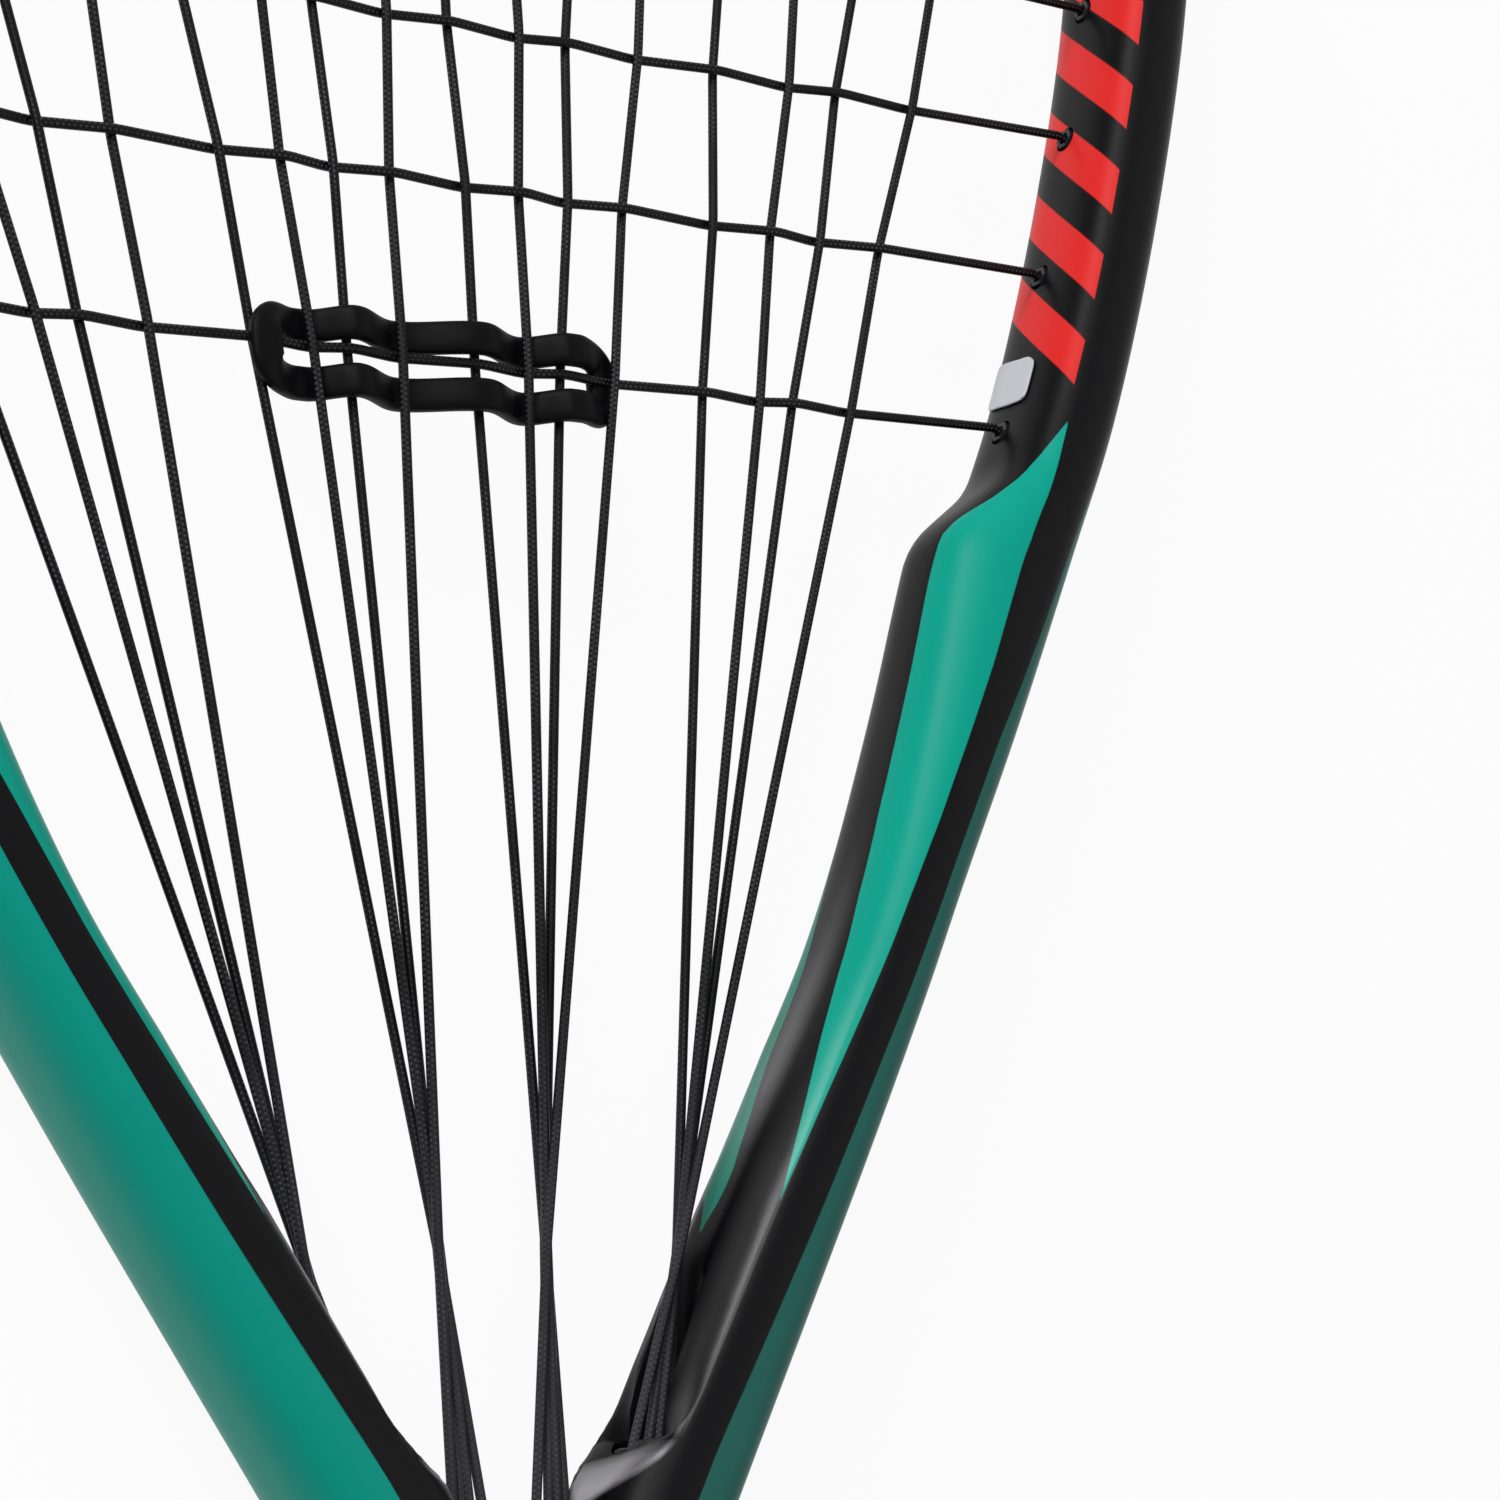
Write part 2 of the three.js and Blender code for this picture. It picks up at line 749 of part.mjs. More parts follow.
// Damper: a long closed loop on the cross's side of each main, with ends that pass the cross
function damper() {
  const nearest = 1 - (2 * damperRail + damperWidth / 2) / firstCrossPitch;
  const rise = damperThickness / 2 + clearance + stringRadius - weaveLift * nearest;
  const endThickness = damperThickness * damperEndShare;
  const fall = endThickness / 2 + clearance + stringRadius + weaveLift / 4;
  const stops = mains
    .filter((main) => Math.abs(main.at(lowCrossY)) < damperReach)
    .map((main) => [main.at(lowCrossY), -mainInFront(main, 0) * rise]);
  const last = stops[stops.length - 1][1];
  const straight = damperReach - damperWidth / 2 - damperEndRun;
  const power = 2 / damperEndExponent;
  const path = [];
  const along = (sign) => {
    for (let i = 0; i < damperRunSteps; i++) {
      const x = sign * straight * ((2 * i) / damperRunSteps - 1);
      path.push({ point: vector(x, -sign * damperRail, stepped(stops, x)), height: damperThickness });
    }
    for (let i = 0; i < damperEndSteps; i++) {
      const angle = (Math.PI * i) / damperEndSteps;
      const c = Math.cos(angle);
      const x = sign * (straight + damperEndRun * Math.sin(angle) ** power);
      const y = -sign * damperRail * Math.sign(c) * Math.abs(c) ** power;
      const quarter = Math.min(i, damperEndSteps - i) / (damperEndSteps / 2);
      const share = Math.min(1, quarter / damperFallShare);
      const z = sign * THREE.MathUtils.lerp(last, -Math.sign(last) * fall, share);
      path.push({ point: vector(x, y, z), height: THREE.MathUtils.lerp(damperThickness, endThickness, share) });
    }
  };
  along(1);
  along(-1);
  const rings = path.map(({ point, height }, i) => {
    const after = path[(i + 1) % path.length].point;
    const before = path[(i + path.length - 1) % path.length].point;
    const across = vector(after.y - before.y, before.x - after.x, 0).normalize();
    const ring = [];
    for (let j = 0; j < damperSides; j++) {
      const angle = (2 * Math.PI * (j + 0.5)) / damperSides;
      const u = (damperWidth / 2) * Math.cos(angle);
      const z = (height / 2) * Math.sin(angle);
      ring.push(point.clone().addScaledVector(across, u).add(vector(0, lowCrossY - damperDrop, z)));
    }
    return ring;
  });
  return solid(loft(rings, true));
}

// Octagonal outline of the handle
function octagon(halfWidth, halfHeight) {
  const cut = halfHeight * gripCornerShare;
  return [
    [halfWidth, -halfHeight + cut],
    [halfWidth, halfHeight - cut],
    [halfWidth - cut, halfHeight],
    [-halfWidth + cut, halfHeight],
    [-halfWidth, halfHeight - cut],
    [-halfWidth, -halfHeight + cut],
    [-halfWidth + cut, -halfHeight],
    [halfWidth - cut, -halfHeight],
  ];
}

// Solid along the handle through octagons given as [y, half width, half height]
function octagonBar(stops) {
  return solid(
    loft(stops.map(([y, w, h]) => octagon(w, h).map(([x, z]) => vector(x, y, z))), false),
  );
}

const coreHalfWidth = gripHalfWidth - wrapThickness - clearance;
const coreHalfHeight = gripHalfHeight - wrapThickness - clearance;

// Half of the moulded handle round the shanks
function handleHalf(side) {
  const start = wrapStartY;
  const core = octagonBar([[start, coreHalfWidth, coreHalfHeight], [gripTopY, coreHalfWidth, coreHalfHeight]]);
  const slot = block(
    2 * slotHalfWidth,
    gripTopY - start + 2 * cutOverrun,
    2 * slotHalfHeight,
    0,
    (start + gripTopY) / 2,
    0,
  );
  const away = block(
    2 * (coreHalfWidth + cutOverrun),
    gripTopY - start + 2 * cutOverrun,
    2 * gripHalfHeight,
    0,
    (start + gripTopY) / 2,
    -side * (gripHalfHeight - clearance / 2),
  );
  return core.subtract(slot).subtract(away);
}

function sleeve(outer, innerWidth, innerHeight) {
  const from = outer[0][0] - cutOverrun;
  const to = outer[outer.length - 1][0] + cutOverrun;
  return octagonBar(outer).subtract(octagonBar([[from, innerWidth, innerHeight], [to, innerWidth, innerHeight]]));
}

// Wrap of the handle, stepped down where the finishing tape lies over its end
function gripWrap() {
  const top = gripTopY - collarLength;
  const step = top - tapeLength - clearance;
  const sunk = tapeThickness + clearance;
  const outer = [
    [capLength + clearance, gripHalfWidth, gripHalfHeight],
    [step, gripHalfWidth, gripHalfHeight],
    [step, gripHalfWidth - sunk, gripHalfHeight - sunk],
    [top, gripHalfWidth - sunk, gripHalfHeight - sunk],
  ];
  return sleeve(outer, coreHalfWidth + clearance, coreHalfHeight + clearance);
}

function finishingTape() {
  const top = gripTopY - collarLength;
  return sleeve(
    [[top - tapeLength, gripHalfWidth, gripHalfHeight], [top, gripHalfWidth, gripHalfHeight]],
    gripHalfWidth - tapeThickness,
    gripHalfHeight - tapeThickness,
  );
}

function gripCollar() {
  const low = gripTopY - collarLength + clearance;
  const wide = coreHalfWidth + clearance + collarThickness;
  const high = coreHalfHeight + clearance + collarThickness;
  return sleeve(
    [[low, wide + collarThickness / 2, high + collarThickness / 2], [gripTopY, wide, high]],
    coreHalfWidth + clearance,
    coreHalfHeight + clearance,
  );
}

// Butt cap: flared cup over the end of the handle, with a lanyard hole and a seat for its plug
function buttCap() {
  const flareWidth = gripHalfWidth + capFlare;
  const flareHeight = gripHalfHeight + capFlare;
  const body = octagonBar([
    [0, flareWidth - capFlare / 2, flareHeight - capFlare / 2],
    [capFlare / 2, flareWidth, flareHeight],
    [capFlareLength, flareWidth, flareHeight],
    [capLength, gripHalfWidth, gripHalfHeight],
  ]);
  const cup = octagonBar([
    [capFloor, coreHalfWidth + clearance, coreHalfHeight + clearance],
    [capLength + cutOverrun, coreHalfWidth + clearance, coreHalfHeight + clearance],
  ]);
  const seat = block(
    2 * (plugHalfWidth + clearance),
    2 * plugThickness,
    2 * (plugHalfHeight + clearance),
    0,
    0,
    0,
  );
  const reach = flareHeight + cutOverrun;
  const hole = bar(vector(0, lanyardY, -reach), vector(0, lanyardY, reach), lanyardRadius, lanyardSides);
  return body.subtract(cup).subtract(seat).subtract(hole);
}

function capPlug() {
  return block(
    2 * plugHalfWidth,
    plugThickness - clearance,
    2 * plugHalfHeight,
    0,
    (plugThickness - clearance) / 2,
    0,
  );
}

// Staple that holds the butt cap: a wire lying on the side facet of the cap's collar
function staple(side) {
  const flat = gripHalfWidth + capFlare;
  const y = capFlareLength / 2;
  return block(stapleWire, stapleWire, stapleLength, side * (flat + clearance + stapleWire / 2), y, 0);
}

// Thin label on the inner wall of the head, bent over the edge between two of its facets
function label() {
  const middle = distanceAtY(labelY);
  const facet = sectionSides / 2;
  const rings = [];
  for (const share of [-0.5, 0, 0.5]) {
    const s = middle + labelLength * share;
    const { outward } = spineFrame(s);
    const [front, edge, back] = tubeRing(s).slice(facet - 1, facet + 2);
    const slant = back.clone().sub(edge);
    const tilted = vector(0, 0, 1).multiplyScalar(slant.dot(outward)).addScaledVector(outward, -slant.z);
    const inward = outward.clone().negate();
    const away = tilted.normalize().multiplyScalar(tilted.dot(inward) < 0 ? -1 : 1);
    const seats = [
      [front.clone().lerp(edge, (front.z - labelHigh) / (front.z - edge.z)), inward],
      [edge, inward.clone().add(away).normalize()],
      [edge.clone().lerp(back, (edge.z - labelLow) / (edge.z - back.z)), away],
    ];
    const lifted = (height) => seats.map(([seat, normal]) => seat.clone().addScaledVector(normal, height));
    const [lowFront, lowEdge, lowBack] = lifted(clearance);
    const [highFront, highEdge, highBack] = lifted(clearance + labelThickness);
    rings.push([lowEdge, lowBack, highBack, highEdge, highFront, lowFront]);
  }
  return solid(loft(rings, false));
}

const carbonBlack = [0x1c1c20, 0.42, 0.1];
const softBlack = [0x202024, 0.7, 0];
const stringBlack = [0x15161a, 0.45, 0];
const greyPlastic = [0x9a9da0, 0.55, 0];
const foamGrey = [0x6b6b66, 0.9, 0];
const paleLabel = [0xdfe3e4, 0.5, 0];
const steel = [0xb8bcc0, 0.3, 0.9];

const racket = new THREE.Group();

function addPiece(name, body, [color, roughness, metalness]) {
  const geometry = body.isBufferGeometry ? body : geometryOf(body);
  const mesh = new THREE.Mesh(geometry, new THREE.MeshStandardMaterial({ color, roughness, metalness }));
  mesh.name = name;
  racket.add(mesh);
}

const stripReach = distanceAtY(grooveEndY) - stripGap;
addPiece("frame_tube", frameTube(), carbonBlack);
addPiece("tip_grommet_strip", grommetStrip(-tipStripReach, tipStripReach), greyPlastic);
addPiece("right_grommet_strip", grommetStrip(tipStripReach + stripGap, stripReach), greyPlastic);
addPiece("left_grommet_strip", grommetStrip(-stripReach, -tipStripReach - stripGap), greyPlastic);
addPiece("bumper_guard", bumperGuard(), softBlack);
addPiece("throat_insert_right", outerInsert(1), softBlack);
addPiece("throat_insert_left", outerInsert(-1), softBlack);
addPiece("throat_insert_middle", middleInsert(), softBlack);
addPiece("main_string", cordGeometry(mainStringPoints(), stringRadius, stringSides), stringBlack);
addPiece("cross_string", cordGeometry(crossStringPoints(), stringRadius, stringSides), stringBlack);
addPiece("string_damper", damper(), softBlack);
addPiece("front_handle_half", handleHalf(1), foamGrey);
addPiece("back_handle_half", handleHalf(-1), foamGrey);
addPiece("grip_wrap", gripWrap(), softBlack);
addPiece("finishing_tape", finishingTape(), softBlack);
addPiece("grip_collar", gripCollar(), softBlack);
addPiece("butt_cap", buttCap(), softBlack);
addPiece("butt_cap_plug", capPlug(), softBlack);
addPiece("right_cap_staple", staple(1), steel);
addPiece("left_cap_staple", staple(-1), steel);
addPiece("frame_label", label(), paleLabel);

// The racket stands centred on its own box, with its lowest point, the cap's flare, on the floor
racket.position.set(0, -racketLength / 2, gripHalfHeight + capFlare);

const part = new THREE.Group();
part.add(racket);
export default part;
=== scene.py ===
"""Looks of the racquetball racket: painted frame, textured strings, rubber damper and wrapped handle."""

import math

import bmesh
import bpy
import numpy as np
from mathutils import Matrix, Vector


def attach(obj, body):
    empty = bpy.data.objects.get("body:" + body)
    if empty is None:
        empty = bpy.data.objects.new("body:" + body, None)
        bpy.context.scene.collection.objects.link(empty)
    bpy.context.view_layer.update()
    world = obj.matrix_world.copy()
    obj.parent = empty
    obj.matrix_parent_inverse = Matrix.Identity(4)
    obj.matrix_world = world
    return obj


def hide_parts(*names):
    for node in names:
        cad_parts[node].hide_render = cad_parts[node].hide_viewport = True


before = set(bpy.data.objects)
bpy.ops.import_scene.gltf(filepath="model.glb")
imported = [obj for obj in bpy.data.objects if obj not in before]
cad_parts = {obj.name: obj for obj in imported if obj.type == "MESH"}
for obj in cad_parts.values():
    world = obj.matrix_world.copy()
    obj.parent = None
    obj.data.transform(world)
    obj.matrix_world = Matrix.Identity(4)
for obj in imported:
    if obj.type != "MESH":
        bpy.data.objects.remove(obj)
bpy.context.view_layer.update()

# Sizes in millimetres, in the racket's own frame: Y from butt to tip, Z = 0 in the string plane
RACKET_LENGTH = 558.8
GRIP_HALF_HEIGHT = 13.7
CAP_FLARE = 2.6
CLEARANCE = 0.3
CUT_OVERRUN = 2.0
ORIGIN = np.array((0.0, -RACKET_LENGTH / 2, GRIP_HALF_HEIGHT + CAP_FLARE))

# Spine of the tube, from the tip down to the end of a shank
BUMPER_THICKNESS = 2.0
TUBE_HALF = 6.0
TIP_SPINE_Y = RACKET_LENGTH - TUBE_HALF - CLEARANCE - BUMPER_THICKNESS
HEAD_HALF_WIDTH = 121.5
HEAD_WIDE_Y = 446.0
HEAD_ROUND_EXPONENT = 2.25
HEAD_ROUND_STEPS = 10
ARM_X_SHARES = (0.9607, 0.879, 0.7798, 0.7024, 0.6006, 0.51, 0.4541, 0.3718, 0.2732)
ARM_Y_SHARES = (0.136, 0.284, 0.42, 0.501, 0.605, 0.692, 0.747, 0.824, 0.913)
THROAT_Y = 210.5
THROAT_HALF = 21.43
NECK_X_SHARES = (0.64, 0.41, 0.3)
NECK_Y_SHARES = (0.31, 0.58, 0.82)
SHANK_SPREAD = 5.7
SHANK_TOP_Y = 166.0
SHANK_END_Y = 24.0
SHANK_SHARES = (0, 0.33, 0.67, 1)
SPAN_SAMPLES = 80
TANGENT_STEP = 0.5

# Section of the tube, whose inner half grows into the rail of each arm
TUBE_HEIGHT = 20.5
SHANK_HALF = 5.0
SHANK_HEIGHT = 18.0
SECTION_EXPONENT = 2.7
INNER_RISE_SHARES = (
    0, 0.0488, 0.1083, 0.1465, 0.1805, 0.2187, 0.2527, 0.2866, 0.3121, 0.3321, 0.3694, 0.4055, 0.4437,
    0.4803, 0.527,
)
INNER_HALF_SHARES = (
    1.708, 1.575, 1.467, 1.375, 1.283, 1.192, 1.125, 1.142, 1.217, 1.317, 1.542, 1.75, 1.992, 2.183, 1.133,
)
NECK_INNER_HALF = 9.4
INNER_EASE = 2.5
EASE_SHARES = (-1, -0.5, 0, 0.5, 1)

# Groove and string holes
GROOVE_DEPTH = 3.0
GROOVE_HALF = 3.0
GROOVE_END_Y = 334.0
GROOVE_STEPS = 160
STRIP_THICKNESS = 1.0
BARREL_RADIUS = 1.55
BARREL_PROUD = 0.3

# Strings
STRING_RADIUS = 0.62
STRING_SIDES = 10
HOLE_MARGIN = 4 * STRING_RADIUS
WEAVE_GAP = 0.02
WEAVE_LIFT = STRING_RADIUS + WEAVE_GAP
WEAVE_ROUND = 1.2
WEAVE_EASE = 0.6
HOLE_LIFT = 0.9
MOUTH_RUN = 1.0
TAIL_LENGTH = 7.0
GROOVE_LOOP_STEP = 4.0
THROAT_LOOP_STEPS = 8
LOW_CROSS_Y = 345.0
FIRST_CROSS_PITCH = 23.3
PITCH_SHARES = (1, 0.915, 0.87, 0.83, 0.79, 0.74, 0.69, 0.63, 0.6, 0.58, 0.54)
MIDDLE_SHARES = (0.0436, 0.0996, 0.1424, 0.2016)
OUTER_SHARES = (0.3152, 0.3811, 0.4288, 0.4988)
MIDDLE_HOLE_X = 7.6
MIDDLE_HOLE_PITCH = 1.9
OUTER_HOLE_X = 21.5
OUTER_HOLE_PITCH = 1.5
OUTER_HOLE_Y = 214.0

# Bundles of four mains: lanes through their pinch, then feet by first x, pitch and height
MAIN_COUNT = 16
BUNDLE = 4
LANE_SHARES = (-3, 1, -1, 3)
LANE_LIFT = 0.5
LANE_LEAN = 0.55
PINCH_Y = 238.5
MIDDLE_FEET = (7.3, 1.4, -1.0)
OUTER_FEET = (20.9, 1.62, 0.0)
FOOT_SHARES = (0, 0.85, 1.7, 3)
INSERT_DEPTH = 5.0
LOOP_DEPTH = 5.5
POCKET_DEPTH = 9.0

# Plates below the bundles, as half sizes
OUTER_PLATE = (4.1, 2.9)
MIDDLE_PLATE = (9.4, 4.0)
PLATE_SINK = 0.3
PLATE_CHAMFER = 0.3
PLATE_TOP_SHARE = 0.9
PLATE_SIDES = 32
PLATE_POWER = 0.6

# Bridge between the arms
SADDLE_TOP_Y = 206.0
SADDLE_BOTTOM_Y = 170.0
SADDLE_HALF = 13.0
SADDLE_HEIGHT = 17.0
SADDLE_DIP = 4.0
SADDLE_COLUMNS = 28
SADDLE_SIDES = 48
SADDLE_Y_POWER = 0.25
SADDLE_Z_POWER = 0.4
SADDLE_SKIN = (0.45, 0.5)

# Damper
DAMPER_REACH = 25.8
DAMPER_NEAR = 23.5
DAMPER_HOLD = 1.2
DAMPER_END_IN = 1.2
DAMPER_RAIL = 3.6
DAMPER_DROP = 0.7
DAMPER_WIDTH = 4.1
DAMPER_THICKNESS = 2.4
DAMPER_END_RUN = 3.8
DAMPER_END_EXPONENT = 3.0
DAMPER_END_SHARE = 0.8
DAMPER_RUN_STEPS = 96
DAMPER_END_STEPS = 40
DAMPER_SIDES = 24
DAMPER_Y_POWER = 0.55
DAMPER_Z_POWER = 0.7

# Label, by distance from the tip and turn round the section
LABEL_FROM, LABEL_TO = 277.6, 285.2
LABEL_FRONT, LABEL_BACK = 0.47, 0.6
LABEL_LEAN = 2.2
LABEL_LIFT = 0.12
LABEL_THICKNESS = 0.25
LABEL_STEPS = 24
LABEL_CORNER_EXPONENT = 5.0
LABEL_CORNER_SHARE = 0.14

# Rings of the tube's mesh
SIDES = 88
FINE_STEP = 1.6
COARSE_STEP = 3.4
FINE_FROM = 270.0
FINE_TO = 480.0
SHARP_ANGLE = 34

# Recess of each arm that runs down to its bundle of strings, by distance from the tip: depth and half height
SEAT_NEAR = 437.0
SEAT_FAR = 438.4
RECESS_DEPTHS = (
    (400, 0), (418, 0.7), (428, 1.7), (434, 3.6), (SEAT_NEAR, 5.6), (SEAT_FAR, 2.8), (442, 1.5), (447, 0),
)
RECESS_HALVES = (
    (400, 4), (410, 8.6), (418, 9.4), (433, 9.4), (440.5, 8.2), (443, 6.6), (445.5, 4), (447, 2),
)
# Slot behind the strings of each outer bundle
SLOT_DEPTHS = (
    (412, 0), (416, 0.8), (420, 2.3), (427, 5.2), (431, 6.8), (434, 8.0), (SEAT_NEAR, 9.0), (SEAT_FAR, 2.8),
    (441, 0),
)
SLOT_HALF = 4.4
SLOT_EXPONENT = 4
# Shallow cove along each inner corner, which leaves a crisp edge to the flat faces
COVE_DEPTHS = ((384, 0), (400, 0.5), (434, 0.7), (441, 0))
COVE_MIDDLE = 6.5
COVE_HALF = 2.9

# Materials of the tube's mesh, by index
PAINT_INDEX, CUT_INDEX = 0, 1


def place(p):
    """Racket point in millimetres to the row frame in metres."""
    return tuple((np.asarray(p, float) + ORIGIN) / 1000)


def circle(steps):
    """Cosine and sine at each step of a turn."""
    return [(math.cos(2 * math.pi * i / steps), math.sin(2 * math.pi * i / steps)) for i in range(steps)]


def rounded(value, power):
    """Value from -1 to 1 raised to a power, with its sign kept."""
    return math.copysign(abs(value) ** power, value)


def right_spine():
    """Control points of the spine's right half, from the tip to the end of the shank."""
    points = []
    rise = TIP_SPINE_Y - HEAD_WIDE_Y
    power = 2 / HEAD_ROUND_EXPONENT
    for i in range(HEAD_ROUND_STEPS):
        angle = math.pi / 2 * i / HEAD_ROUND_STEPS
        x = HEAD_HALF_WIDTH * math.sin(angle) ** power
        points.append((x, HEAD_WIDE_Y + rise * math.cos(angle) ** power))
    points.append((HEAD_HALF_WIDTH, HEAD_WIDE_Y))
    drop = HEAD_WIDE_Y - THROAT_Y
    for x, y in zip(ARM_X_SHARES, ARM_Y_SHARES):
        points.append((HEAD_HALF_WIDTH * x, HEAD_WIDE_Y - drop * y))
    points.append((THROAT_HALF, THROAT_Y))
    neck = THROAT_Y - SHANK_TOP_Y
    for x, y in zip(NECK_X_SHARES, NECK_Y_SHARES):
        points.append((THROAT_HALF * x, THROAT_Y - neck * y))
    shank = SHANK_TOP_Y - SHANK_END_Y
    for share in SHANK_SHARES:
        points.append((SHANK_SPREAD, SHANK_TOP_Y - shank * share))
    return [np.array(p, float) for p in points]


def centripetal(points, i, w):
    """Point at share w of the span after point i of a centripetal Catmull-Rom curve."""
    last = len(points) - 1
    p1, p2 = points[i], points[i + 1]
    p0 = points[i - 1] if i > 0 else 2 * p1 - p2
    p3 = points[i + 2] if i + 2 <= last else 2 * p2 - p1
    d0, d1, d2 = (math.sqrt(np.linalg.norm(b - a)) for a, b in ((p0, p1), (p1, p2), (p2, p3)))
    m1 = ((p1 - p0) / d0 - (p2 - p0) / (d0 + d1) + (p2 - p1) / d1) * d1
    m2 = ((p2 - p1) / d1 - (p3 - p1) / (d1 + d2) + (p3 - p2) / d2) * d1
    return p1 + m1 * w + (3 * (p2 - p1) - 2 * m1 - m2) * w * w + (2 * (p1 - p2) + m1 + m2) * w**3


HALF = right_spine()
CONTROL = HALF[::-1] + [np.array((-p[0], p[1])) for p in HALF[1:]]
CURVE = np.array(
    [centripetal(CONTROL, i, k / SPAN_SAMPLES) for i in range(len(CONTROL) - 1) for k in range(SPAN_SAMPLES)]
    + [CONTROL[-1]]
)
REACH = np.concatenate([[0], np.cumsum(np.linalg.norm(np.diff(CURVE, axis=0), axis=1))])
SPINE_LENGTH = REACH[-1]


def spine_frame(s):
    """Point and outward normal of the spine at signed distance s from the tip, right side positive."""
    at = SPINE_LENGTH / 2 - s
    places = (at, at - TANGENT_STEP, at + TANGENT_STEP)
    x, x0, x1 = np.interp(places, REACH, CURVE[:, 0])
    y, y0, y1 = np.interp(places, REACH, CURVE[:, 1])
    n = math.hypot(x1 - x0, y1 - y0)
    return np.array((x, y, 0.0)), np.array((y1 - y0, x0 - x1, 0.0)) / n


def stepped(stops, y):
    """Value at y between (place, value) stops, with a smooth step from each to the next."""
    if y <= stops[0][0]:
        return stops[0][1]
    for (y0, v0), (y1, v1) in zip(stops, stops[1:]):
        if y <= y1:
            w = (y - y0) / (y1 - y0)
            return v0 + (v1 - v0) * w * w * (3 - 2 * w)
    return stops[-1][1]


INNER_STOPS = [(SHANK_TOP_Y, SHANK_HALF), ((THROAT_Y + SHANK_TOP_Y) / 2, NECK_INNER_HALF)] + [
    (THROAT_Y + (HEAD_WIDE_Y - THROAT_Y) * rise, TUBE_HALF * half)
    for rise, half in zip(INNER_RISE_SHARES, INNER_HALF_SHARES)
]
INNER_Y, INNER_VALUES = zip(*INNER_STOPS)


def inner_half(y):
    """Inner half width of the tube at a height along the racket, with its corners eased."""
    return float(np.mean([np.interp(y + INNER_EASE * share, INNER_Y, INNER_VALUES) for share in EASE_SHARES]))


def outer_half(y):
    return stepped(((SHANK_TOP_Y, SHANK_HALF), (THROAT_Y, TUBE_HALF)), y)


def tube_height(y):
    return stepped(((SHANK_TOP_Y, SHANK_HEIGHT), (THROAT_Y, TUBE_HEIGHT)), y)


def beside(s, u, z):
    """Point at u outward of the spine and z in front of it."""
    point, outward = spine_frame(s)
    return point + outward * u + np.array((0, 0, z))


def wall(s, z=0.0):
    """Point of the tube's inner wall."""
    return beside(s, -inner_half(spine_frame(s)[0][1]), z)


def search(f, low, high, steps=400, halvings=30):
    """First zero of f from low on, or high if there is none."""
    a, fa = low, f(low)
    for i in range(1, steps + 1):
        b = low + (high - low) * i / steps
        fb = f(b)
        if fa * fb <= 0:
            for _ in range(halvings):
                m = (a + b) / 2
                if f(m) * fa > 0:
                    a = m
                else:
                    b = m
            return (a + b) / 2
        a, fa = b, fb
    return high


def distance_at(y):
    return search(lambda s: spine_frame(s)[0][1] - y, 0, SPINE_LENGTH / 2)


# Mesh building


def mesh_piece(name, vertices, faces, uvs=None, smooth=True, material_index=None):
    """Object from racket-frame vertices in millimetres, with an optional uv for each face corner."""
    mesh = bpy.data.meshes.new(name)
    mesh.from_pydata([place(v) for v in vertices], [], faces)
    if uvs is not None:
        layer = mesh.uv_layers.new(name="skin")
        layer.data.foreach_set("uv", np.array(uvs, float).ravel())
    mesh.polygons.foreach_set("use_smooth", [smooth] * len(mesh.polygons))
    if material_index is not None:
        mesh.polygons.foreach_set("material_index", [material_index] * len(mesh.polygons))
    mesh.update()
    obj = bpy.data.objects.new(name, mesh)
    bpy.context.scene.collection.objects.link(obj)
    return obj


def loft(rings, closed=False, along=None):
    """Vertices, quads and corner uvs through rings: u runs along the rings, v round them."""
    count, n = len(rings), len(rings[0])
    vertices = [p for ring in rings for p in ring]
    faces, uvs = [], []
    if along is None:
        along = list(range(count + 1))
    for i in range(count if closed else count - 1):
        a, b = i * n, ((i + 1) % count) * n
        u0, u1 = along[i], along[i + 1]
        for j in range(n):
            k = (j + 1) % n
            faces.append((a + j, b + j, b + k, a + k))
            uvs += [(u0, j / n), (u1, j / n), (u1, (j + 1) / n), (u0, (j + 1) / n)]
    if not closed:
        faces.append(tuple(range(n)))
        uvs += [(along[0], j / n) for j in range(n)]
        end = (count - 1) * n
        faces.append(tuple(end + j for j in reversed(range(n))))
        uvs += [(along[count - 1], j / n) for j in reversed(range(n))]
    return vertices, faces, uvs


def outward_faces(obj):
    mesh = bmesh.new()
    mesh.from_mesh(obj.data)
    bmesh.ops.recalc_face_normals(mesh, faces=mesh.faces)
    mesh.to_mesh(obj.data)
    mesh.free()
    return obj


def cut(obj, cutter, operation="DIFFERENCE"):
    """Applies a boolean and removes the cutter."""
    modifier = obj.modifiers.new("cut", "BOOLEAN")
    modifier.operation = operation
    modifier.object = cutter
    modifier.solver = "EXACT"
    modifier.use_self = True
    made = bpy.data.meshes.new_from_object(obj.evaluated_get(bpy.context.evaluated_depsgraph_get()))
    obj.modifiers.remove(modifier)
    obj.data = made
    bpy.data.objects.remove(cutter)
    return obj


def joined(name, parts):
    """One mesh from several (vertices, faces) pairs."""
    vertices, faces = [], []
    for v, f in parts:
        start = len(vertices)
        vertices += list(v)
        faces += [tuple(start + i for i in face) for face in f]
    return mesh_piece(name, vertices, faces, material_index=CUT_INDEX)


def rod(a, b, radius, sides=20):
    """Vertices and faces of a round rod from a to b."""
    axis = (b - a) / np.linalg.norm(b - a)
    helper = np.array((0, 0, 1.0)) if abs(axis[2]) < 0.9 else np.array((1.0, 0, 0))
    n = np.cross(axis, helper)
    n /= np.linalg.norm(n)
    m = np.cross(axis, n)
    return loft([[p + radius * (c * n + d * m) for c, d in circle(sides)] for p in (a, b)])[:2]


# Materials


